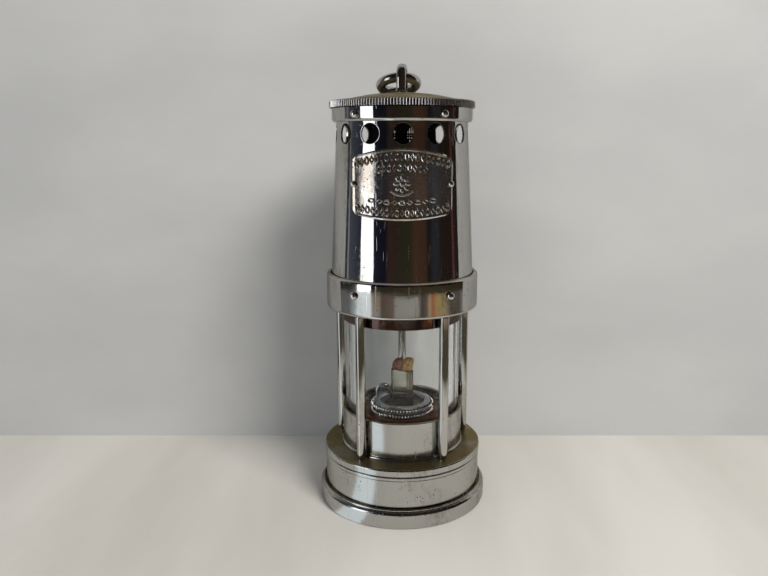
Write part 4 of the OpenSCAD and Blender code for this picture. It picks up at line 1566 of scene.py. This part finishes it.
@dataclass
class Lid:
    """The lid with its milled edge, the swivelling eye and the carrying ring."""

    teeth: int = 158
    tooth: float = 0.85
    steps_per_tooth: int = 8
    dome: float = 30.0
    edge: float = 3.7
    sheet: float = 2.0
    hole: float = 2.58
    crown: float = 4.0
    plug: float = 32.25
    plug_in: float = 31.0
    plug_depth: float = 1.8
    eye_turn: float = math.radians(-5)
    band: float = 4.6
    gap: float = 4.8
    thickness: float = 3.0
    shank: float = 2.5
    bar: float = 1.75
    pivot: float = 7.5
    lean: float = math.radians(19)
    ring_turn: float = math.radians(12)
    ring: float = 9.15
    wire: float = 2.45

    def __post_init__(self) -> None:
        """Reads the lid's place from the frame."""
        self.node = Extent.of("lid")
        self.foot = Extent.of("bonnet").high.z
        self.top = self.node.high.z

    def build(self) -> None:
        """Makes the lid, the eye and the ring."""
        self.cover()
        self.eye()
        self.carrying_ring()

    def cover(self) -> None:
        """Makes the domed lid and mills its edge."""
        r, z0 = self.node.radius, self.foot
        z1 = z0 + self.edge
        curve = (self.dome ** 2 + self.crown ** 2) / (2 * self.crown)
        base = self.top - curve
        arch = [Corner(x, base + math.sqrt(curve ** 2 - x ** 2))
                for x in (self.hole + (self.dome - self.hole) * (1 - i / 9) for i in range(10))]
        under = [Corner(c.r, c.z - self.sheet) for c in reversed(arch)]
        shelf = r - 2.2
        section = [
            Corner(self.plug_in, z0 - self.plug_depth), Corner(self.plug, z0 - self.plug_depth),
            Corner(self.plug, z0), Corner(shelf, z0), Corner(shelf, z1 - CLEARANCE),
            Corner(self.dome + 0.6, z1 - CLEARANCE), *arch, *under, Corner(self.plug_in, z0 + 1),
        ]
        mount_piece(finished(turned(section, 192), "lid_dome"), Finish.DOME, "cage", "lid")
        rim = [
            Corner(shelf, z0), Corner(r - 1.5, z0, 0.15), Corner(r, z0 + 0.35), Corner(r, z0 + 1.2),
            Corner(r, z1 - 1.2), Corner(r, z1 - 0.45), Corner(r - 1.2, z1, 0.2), Corner(shelf, z1),
        ]
        bm = turned(rim, self.teeth * self.steps_per_tooth)
        for vert in bm.verts:
            reach = vert.co.xy.length
            if reach > r - 0.9:
                angle = math.atan2(vert.co.x, vert.co.y)
                cut = self.tooth * (1 - abs(math.sin(self.teeth * angle / 2)) ** 0.8)
                scale = (reach - cut) / reach
                vert.co.x *= scale
                vert.co.y *= scale
        mount_piece(finished(bm, "lid_rim", even_normals=False), Finish.MILLED, "cage", "lid")

    def eye(self) -> None:
        """Makes the eye: a crowned band bent into an arch, closed by a bar, on a shank."""
        node = Extent.of("swivel_eye")
        arch_z = node.high.z - self.gap - self.thickness
        foot = self.top + 0.25
        half_bar = self.bar / 2
        leg_foot = foot + 0.9
        middle = self.gap + self.thickness / 2
        bm = bmesh.new()
        bmesh.ops.create_circle(bm, cap_ends=True, segments=32, radius=1.0)
        for vert in bm.verts:
            vert.co.x = math.copysign(abs(vert.co.x) ** 0.9, vert.co.x) * self.band / 2
            vert.co.y = math.copysign(abs(vert.co.y) ** 0.9, vert.co.y) * self.thickness / 2
        bmesh.ops.translate(bm, vec=(0, -middle, leg_foot), verts=bm.verts)
        leg = arch_z - leg_foot
        arched(bm, leg, Vector((0, 0, arch_z)), Vector((-1, 0, 0)), 28, leg)
        bmesh.ops.recalc_face_normals(bm, faces=bm.faces)
        bar = bmesh.new()
        bmesh.ops.create_cube(bar, size=1.0)
        bmesh.ops.scale(bar, vec=(self.band, 2 * (self.gap + self.thickness), self.bar), verts=bar.verts)
        bmesh.ops.translate(bar, vec=(0, 0, foot + half_bar), verts=bar.verts)
        soften(bar, list(bar.edges), 0.5, 3)
        inside_bar = foot + 0.5
        shank = turned([Corner(0, node.low.z), Corner(self.shank, node.low.z, 0.3),
                        Corner(self.shank, inside_bar), Corner(0, inside_bar)], 48, closed=False)
        whole = merged([bm, bar, shank])
        bmesh.ops.rotate(whole, matrix=Matrix.Rotation(self.eye_turn, 3, "Z"), verts=whole.verts)
        mount_piece(finished(whole, "staple_eye"), Finish.DARK, "eye", "swivel_eye")

    def carrying_ring(self) -> None:
        """Makes the carrying ring where it leans back on the lid."""
        pivot = self.top + self.pivot
        bm = bmesh.new()
        bmesh.ops.create_circle(bm, cap_ends=False, segments=40, radius=self.wire)
        bmesh.ops.transform(bm, matrix=Matrix.Translation((self.ring, 0, 0)) @ STAND, verts=bm.verts)
        bmesh.ops.spin(bm, geom=[*bm.verts, *bm.edges], cent=(0, 0, 0), axis=(0, 0, 1), angle=FULL_TURN,
                       steps=120, use_merge=True)
        bmesh.ops.recalc_face_normals(bm, faces=bm.faces)
        place = (Matrix.Translation((0, 0, pivot)) @ Matrix.Rotation(self.ring_turn, 4, "Z")
                 @ Matrix.Rotation(-self.lean, 4, "X") @ Matrix.Translation((0, self.ring, 0)))
        bmesh.ops.transform(bm, matrix=place, verts=bm.verts)
        mount_piece(finished(bm, "hanging_ring"), Finish.DARK, "hang_ring", "carrying_ring")


# ---------------------------------------------------------------- studio


@dataclass(frozen=True)
class Stripe:
    """What the plating mirrors in one direction: an angle from the front in degrees, and a colour."""

    angle: float
    colour: tuple[float, float, float]


PALE_SIDE = (0.22, 0.23, 0.24)
ROOM = [
    Stripe(-180, PALE_SIDE), Stripe(-113, PALE_SIDE), Stripe(-108, (0.03, 0.035, 0.05)),
    Stripe(-99, (0.05, 0.055, 0.07)), Stripe(-97, (0.40, 0.42, 0.45)), Stripe(-95, (0.08, 0.09, 0.11)),
    Stripe(-80, (0.06, 0.065, 0.09)), Stripe(-72, (0.03, 0.035, 0.06)), Stripe(-44, (0.012, 0.014, 0.028)),
    Stripe(-27, (0.010, 0.010, 0.016)), Stripe(-21, (0.045, 0.026, 0.024)), Stripe(-11, (0.04, 0.024, 0.02)),
    Stripe(-5, (0.032, 0.029, 0.018)), Stripe(14, (0.036, 0.031, 0.018)), Stripe(20, (0.075, 0.040, 0.024)),
    Stripe(37, (0.062, 0.034, 0.022)), Stripe(43, (0.014, 0.012, 0.012)), Stripe(52, (0.032, 0.032, 0.040)),
    Stripe(60, (0.030, 0.030, 0.036)), Stripe(65, (0.024, 0.016, 0.012)), Stripe(86, (0.022, 0.014, 0.011)),
    Stripe(90, (0.13, 0.055, 0.04)), Stripe(93, (0.03, 0.018, 0.015)), Stripe(101, (0.022, 0.016, 0.013)),
    Stripe(113, PALE_SIDE), Stripe(180, PALE_SIDE),
]
# The pale blue stretch from -70 to -46 degrees is a painted reflection of the window on the bench top.
BENCH = [
    Stripe(-180, (0.35, 0.35, 0.35)), Stripe(-84, (0.30, 0.30, 0.31)), Stripe(-70, (0.80, 0.90, 1.0)),
    Stripe(-46, (0.80, 0.90, 1.0)), Stripe(-43, (0.46, 0.38, 0.30)), Stripe(-33, (0.40, 0.32, 0.25)),
    Stripe(-29, (0.15, 0.11, 0.09)), Stripe(-13, (0.20, 0.15, 0.12)), Stripe(-9, (0.36, 0.36, 0.34)),
    Stripe(22, (0.33, 0.33, 0.31)), Stripe(27, (0.08, 0.07, 0.065)), Stripe(35, (0.10, 0.085, 0.075)),
    Stripe(39, (0.40, 0.30, 0.20)), Stripe(44, (0.36, 0.12, 0.07)), Stripe(50, (0.38, 0.28, 0.10)),
    Stripe(66, (0.34, 0.28, 0.18)), Stripe(73, (0.16, 0.14, 0.12)), Stripe(92, (0.14, 0.12, 0.11)),
    Stripe(100, (0.35, 0.35, 0.35)), Stripe(180, (0.35, 0.35, 0.35)),
]


@dataclass
class Studio:
    """The pale floor and backdrop, the lights, the room that the plating mirrors, and the camera."""

    wall_y: float = 0.072
    floor_front: float = -0.80
    lens: float = 33.19
    eye_back: float = 0.36765
    eye_height: float = 0.18972
    pitch: float = math.radians(11.586)
    shift: float = -0.02363
    half_width: float = 0.8
    floor_back: float = 0.9
    # From the lamp outwards, the floor is mirrored plain, in shade, then as the bench, then dark.
    shade_from: tuple[float, float] = (0.20, 0.26)
    bench_from: tuple[float, float] = (0.40, 0.43)
    dark_from: tuple[float, float] = (0.60, 0.64)
    window_turn: float = math.radians(-56.5)
    window_reach: float = 0.62
    window_height: float = 0.19

    def build(self) -> None:
        """Sets the camera first, then the stage and the light."""
        self.camera()
        self.floor()
        self.backdrop()
        self.lights()
        self.room()
        bpy.context.scene.view_settings.view_transform = "Standard"

    def camera(self) -> None:
        """Stands the camera in front of the lamp, a little above it."""
        data = bpy.data.cameras.new("camera")
        data.lens = self.lens
        data.sensor_width = 36.0
        data.shift_x = self.shift
        data.clip_start = 0.01
        camera = bpy.data.objects.new("camera", data)
        camera.location = (0, -self.eye_back, self.eye_height)
        camera.rotation_euler = (math.radians(90) - self.pitch, 0, 0)
        bpy.context.scene.collection.objects.link(camera)
        bpy.context.scene.camera = camera

    def by_azimuth(self, tree: Tree, across: object, away: object, stripes: list[Stripe]) -> Socket:
        """Colours what stands round the lamp by its direction.

        Args:
            tree: the tree that the nodes go into.
            across: the place or direction along X.
            away: the place or direction along Y.
            stripes: the angles from the front and their colours.

        Returns:
            The colour.
        """
        angle = tree.math("ARCTAN2", across, tree.math("MULTIPLY", away, -1.0))
        factor = tree.math("ADD", tree.math("DIVIDE", angle, FULL_TURN), 0.5)
        return tree.ramp(factor, [(s.angle / 360 + 0.5, (*s.colour, 1.0)) for s in stripes])

    def sheet(self, name: str, centre: Vector, across: Vector, up: Vector) -> Piece:
        """Makes a flat sheet of the stage.

        Args:
            name: its name.
            centre: its centre, in metres.
            across: half its width as a vector.
            up: half its height as a vector.

        Returns:
            The sheet.
        """
        bm = bmesh.new()
        bmesh.ops.create_grid(bm, x_segments=1, y_segments=1, size=1.0)
        normal = across.cross(up).normalized()
        lay = Matrix((across, up, normal)).transposed().to_4x4()
        bmesh.ops.transform(bm, matrix=Matrix.Translation(centre) @ lay, verts=bm.verts)
        mesh = bpy.data.meshes.new(name)
        bm.to_mesh(mesh)
        bm.free()
        sheet = bpy.data.objects.new(name, mesh)
        bpy.context.scene.collection.objects.link(sheet)
        return sheet

    def paint(
        self, sheet: Piece, low: Colour, high: Colour, scale: tuple[float, float, float], one_sided: bool
    ) -> None:
        """Paints a sheet of the stage in pale, slightly uneven white.

        Args:
            sheet: the sheet.
            low: the darker tone.
            high: the paler tone.
            scale: the grain's scale along the three axes.
            one_sided: whether the back of the sheet can be seen through.
        """
        material, tree, shader = new_material(sheet.name + "_paint")
        place = tree.place()
        grain = tree.add("Mapping", {"Vector": place, "Scale": scale}).outputs[0]
        tone = tree.remap(tree.noise(grain, 12.0, 6.0), 0.3, 0.7)
        tree.feed(shader.inputs["Base Color"], tree.blend(tone, low, high))
        shader.inputs["Roughness"].default_value = 0.7
        if one_sided:
            clear = tree.add("BsdfTransparent").outputs[0]
            back = tree.add("NewGeometry").outputs["Backfacing"]
            mix = tree.add("MixShader", {0: back, 1: shader.outputs[0], 2: clear})
            tree.feed(material.node_tree.nodes["Material Output"].inputs[0], mix.outputs[0])
        sheet.data.materials.append(material)

    def floor(self) -> None:
        """Lays the pale floor."""
        depth = (self.floor_back - self.floor_front) / 2
        sheet = self.sheet("floor", Vector((0, self.floor_front + depth, 0)), Vector((self.half_width, 0, 0)),
                           Vector((0, depth, 0)))
        self.paint(sheet, (0.60, 0.58, 0.54, 1), (0.72, 0.70, 0.66, 1), (1.0, 0.25, 1.0), False)
        self.mirrored_bench(sheet.data.materials[0])

    def mirrored_bench(self, material: bpy.types.Material) -> None:
        """Lets the plating mirror a used bench with a painted, glowing patch of window light, while the floor
        itself stays plain.

        Args:
            material: the floor's material.
        """
        tree = Tree(material.node_tree)
        shader = material.node_tree.nodes["Principled BSDF"]
        plain = shader.inputs["Base Color"].links[0].from_socket
        place = tree.place()
        split = tree.split(place)
        things = self.by_azimuth(tree, split[0], split[1], BENCH)
        reach = tree.add("VectorMath", {0: place}, operation="LENGTH").outputs["Value"]
        far = tree.blend(tree.remap(reach, *self.dark_from), things, (0.045, 0.036, 0.020, 1))
        shade = tree.blend(tree.remap(reach, *self.bench_from), (0.085, 0.075, 0.045, 1), far)
        near = tree.blend(tree.remap(reach, *self.shade_from), plain, shade)
        # Painted light: a wedge of window light on the floor, pale blue in colour and glowing, seen only in
        # reflections.
        angle = tree.math("ARCTAN2", split[0], tree.math("MULTIPLY", split[1], -1.0))
        swing = tree.remap(reach, 0.05, self.bench_from[0], math.radians(17), 0.0)
        turned_by = tree.math("SUBTRACT", angle, swing)
        window_light_patch = tree.math("MULTIPLY", tree.remap(turned_by, math.radians(-72), math.radians(-67)),
                          tree.remap(turned_by, math.radians(-44), math.radians(-48)))
        lit = tree.blend(window_light_patch, near, (0.88, 0.96, 1.0, 1))
        mirrored = tree.add("LightPath").outputs["Is Glossy Ray"]
        tree.feed(shader.inputs["Base Color"], tree.blend(mirrored, plain, lit))
        tree.feed(shader.inputs["Emission Color"], tree.blend(window_light_patch, (0, 0, 0, 1), (0.55, 0.62, 0.70, 1)))
        tree.feed(shader.inputs["Emission Strength"], tree.math("MULTIPLY", mirrored, 0.45))

    def backdrop(self) -> None:
        """Stands the pale backdrop close behind the lamp."""
        half = 0.25
        sheet = self.sheet("backdrop", Vector((0.025, self.wall_y, half)), Vector((0.425, 0, 0)),
                           Vector((0, 0, half)))
        self.paint(sheet, (0.50, 0.505, 0.51, 1), (0.575, 0.58, 0.58, 1), (0.5, 1.0, 1.0), True)

    def lamp(self, name: str, place: Vector, aim: Vector, size: tuple[float, float], power: float,
             colour: tuple[float, float, float], mirrored: bool) -> None:
        """Adds an area light.

        Args:
            name: its name.
            place: where it is, in metres.
            aim: what it looks at.
            size: its width and height.
            power: its power in watts.
            colour: its colour.
            mirrored: whether the plating shows it.
        """
        data = bpy.data.lights.new(name, "AREA")
        data.shape = "RECTANGLE"
        data.size, data.size_y = size
        data.energy = power
        data.color = colour
        light = bpy.data.objects.new(name, data)
        light.location = place
        light.rotation_euler = (aim - place).to_track_quat("-Z", "Y").to_euler()
        light.visible_glossy = mirrored
        light.visible_diffuse = not mirrored
        light.visible_camera = False
        bpy.context.scene.collection.objects.link(light)

    def lights(self) -> None:
        """Sets a soft warm key, a cool fill and the window that the plating mirrors."""
        target = Vector((0, 0, 0.1))
        self.lamp("key", Vector((0.55, -0.75, 1.0)), target, (0.45, 0.45), 14.4, (1.0, 0.965, 0.91), False)
        self.lamp("fill", Vector((-0.7, -0.9, 0.7)), target, (0.9, 0.7), 1.3, (0.86, 0.93, 1.0), False)
        window = round_lamp(self.window_turn, self.window_reach, self.window_height)
        aim = Vector((0, 0, self.window_height))
        self.lamp("window", window, aim, (0.245, 0.38), 0.70, (0.93, 0.97, 1.0), True)

    def room(self) -> None:
        """Makes the surroundings: pale where the camera looks, a dim brown room where the plating looks."""
        world = bpy.data.worlds.new("room")
        world.use_nodes = True
        tree = Tree(world.node_tree)
        world.node_tree.nodes.clear()
        path = tree.add("LightPath").outputs
        look = tree.add("TexCoord").outputs["Generated"]
        split = tree.split(look)
        stripes = self.by_azimuth(tree, split[0], split[1], ROOM)
        level = tree.remap(split[2], -0.25, 0.25, 1.2, 0.55)
        mirrored = tree.add("Background", {"Color": stripes, "Strength": level}).outputs[0]
        pale = tree.add("Background", {"Color": (0.55, 0.56, 0.57, 1), "Strength": 0.47}).outputs[0]
        glossy = tree.add("MixShader", {0: path["Is Glossy Ray"], 1: pale, 2: mirrored}).outputs[0]
        output = tree.add("OutputWorld")
        tree.feed(output.inputs[0], glossy)
        bpy.context.scene.world = world


def main() -> None:
    """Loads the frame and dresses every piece."""
    logging.basicConfig(level=logging.INFO, format="%(message)s")
    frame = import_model()
    nodes = frame["nodes"]
    Studio().build()
    Vessel().build()
    Burner().build()
    Cage().build()
    Bonnet().build()
    Lid().build()
    dress_nodes(nodes, Finish.WORN, "base_plate")
    dress_nodes(nodes, Finish.COTTON, "tank_wadding")
    dress_nodes(nodes, Finish.TARNISHED, "pricker_tube")
    dress_nodes(nodes, Finish.FIBRE, "pricker_packing", "lower_gasket", "upper_gasket")
    dress_nodes(nodes, Finish.BRASS, "glass_clamp_ring")
    dress_nodes(nodes, Finish.DARK, "gauze_clamp", "eye_washer", "eye_nut")


if __name__ == "__main__":
    main()
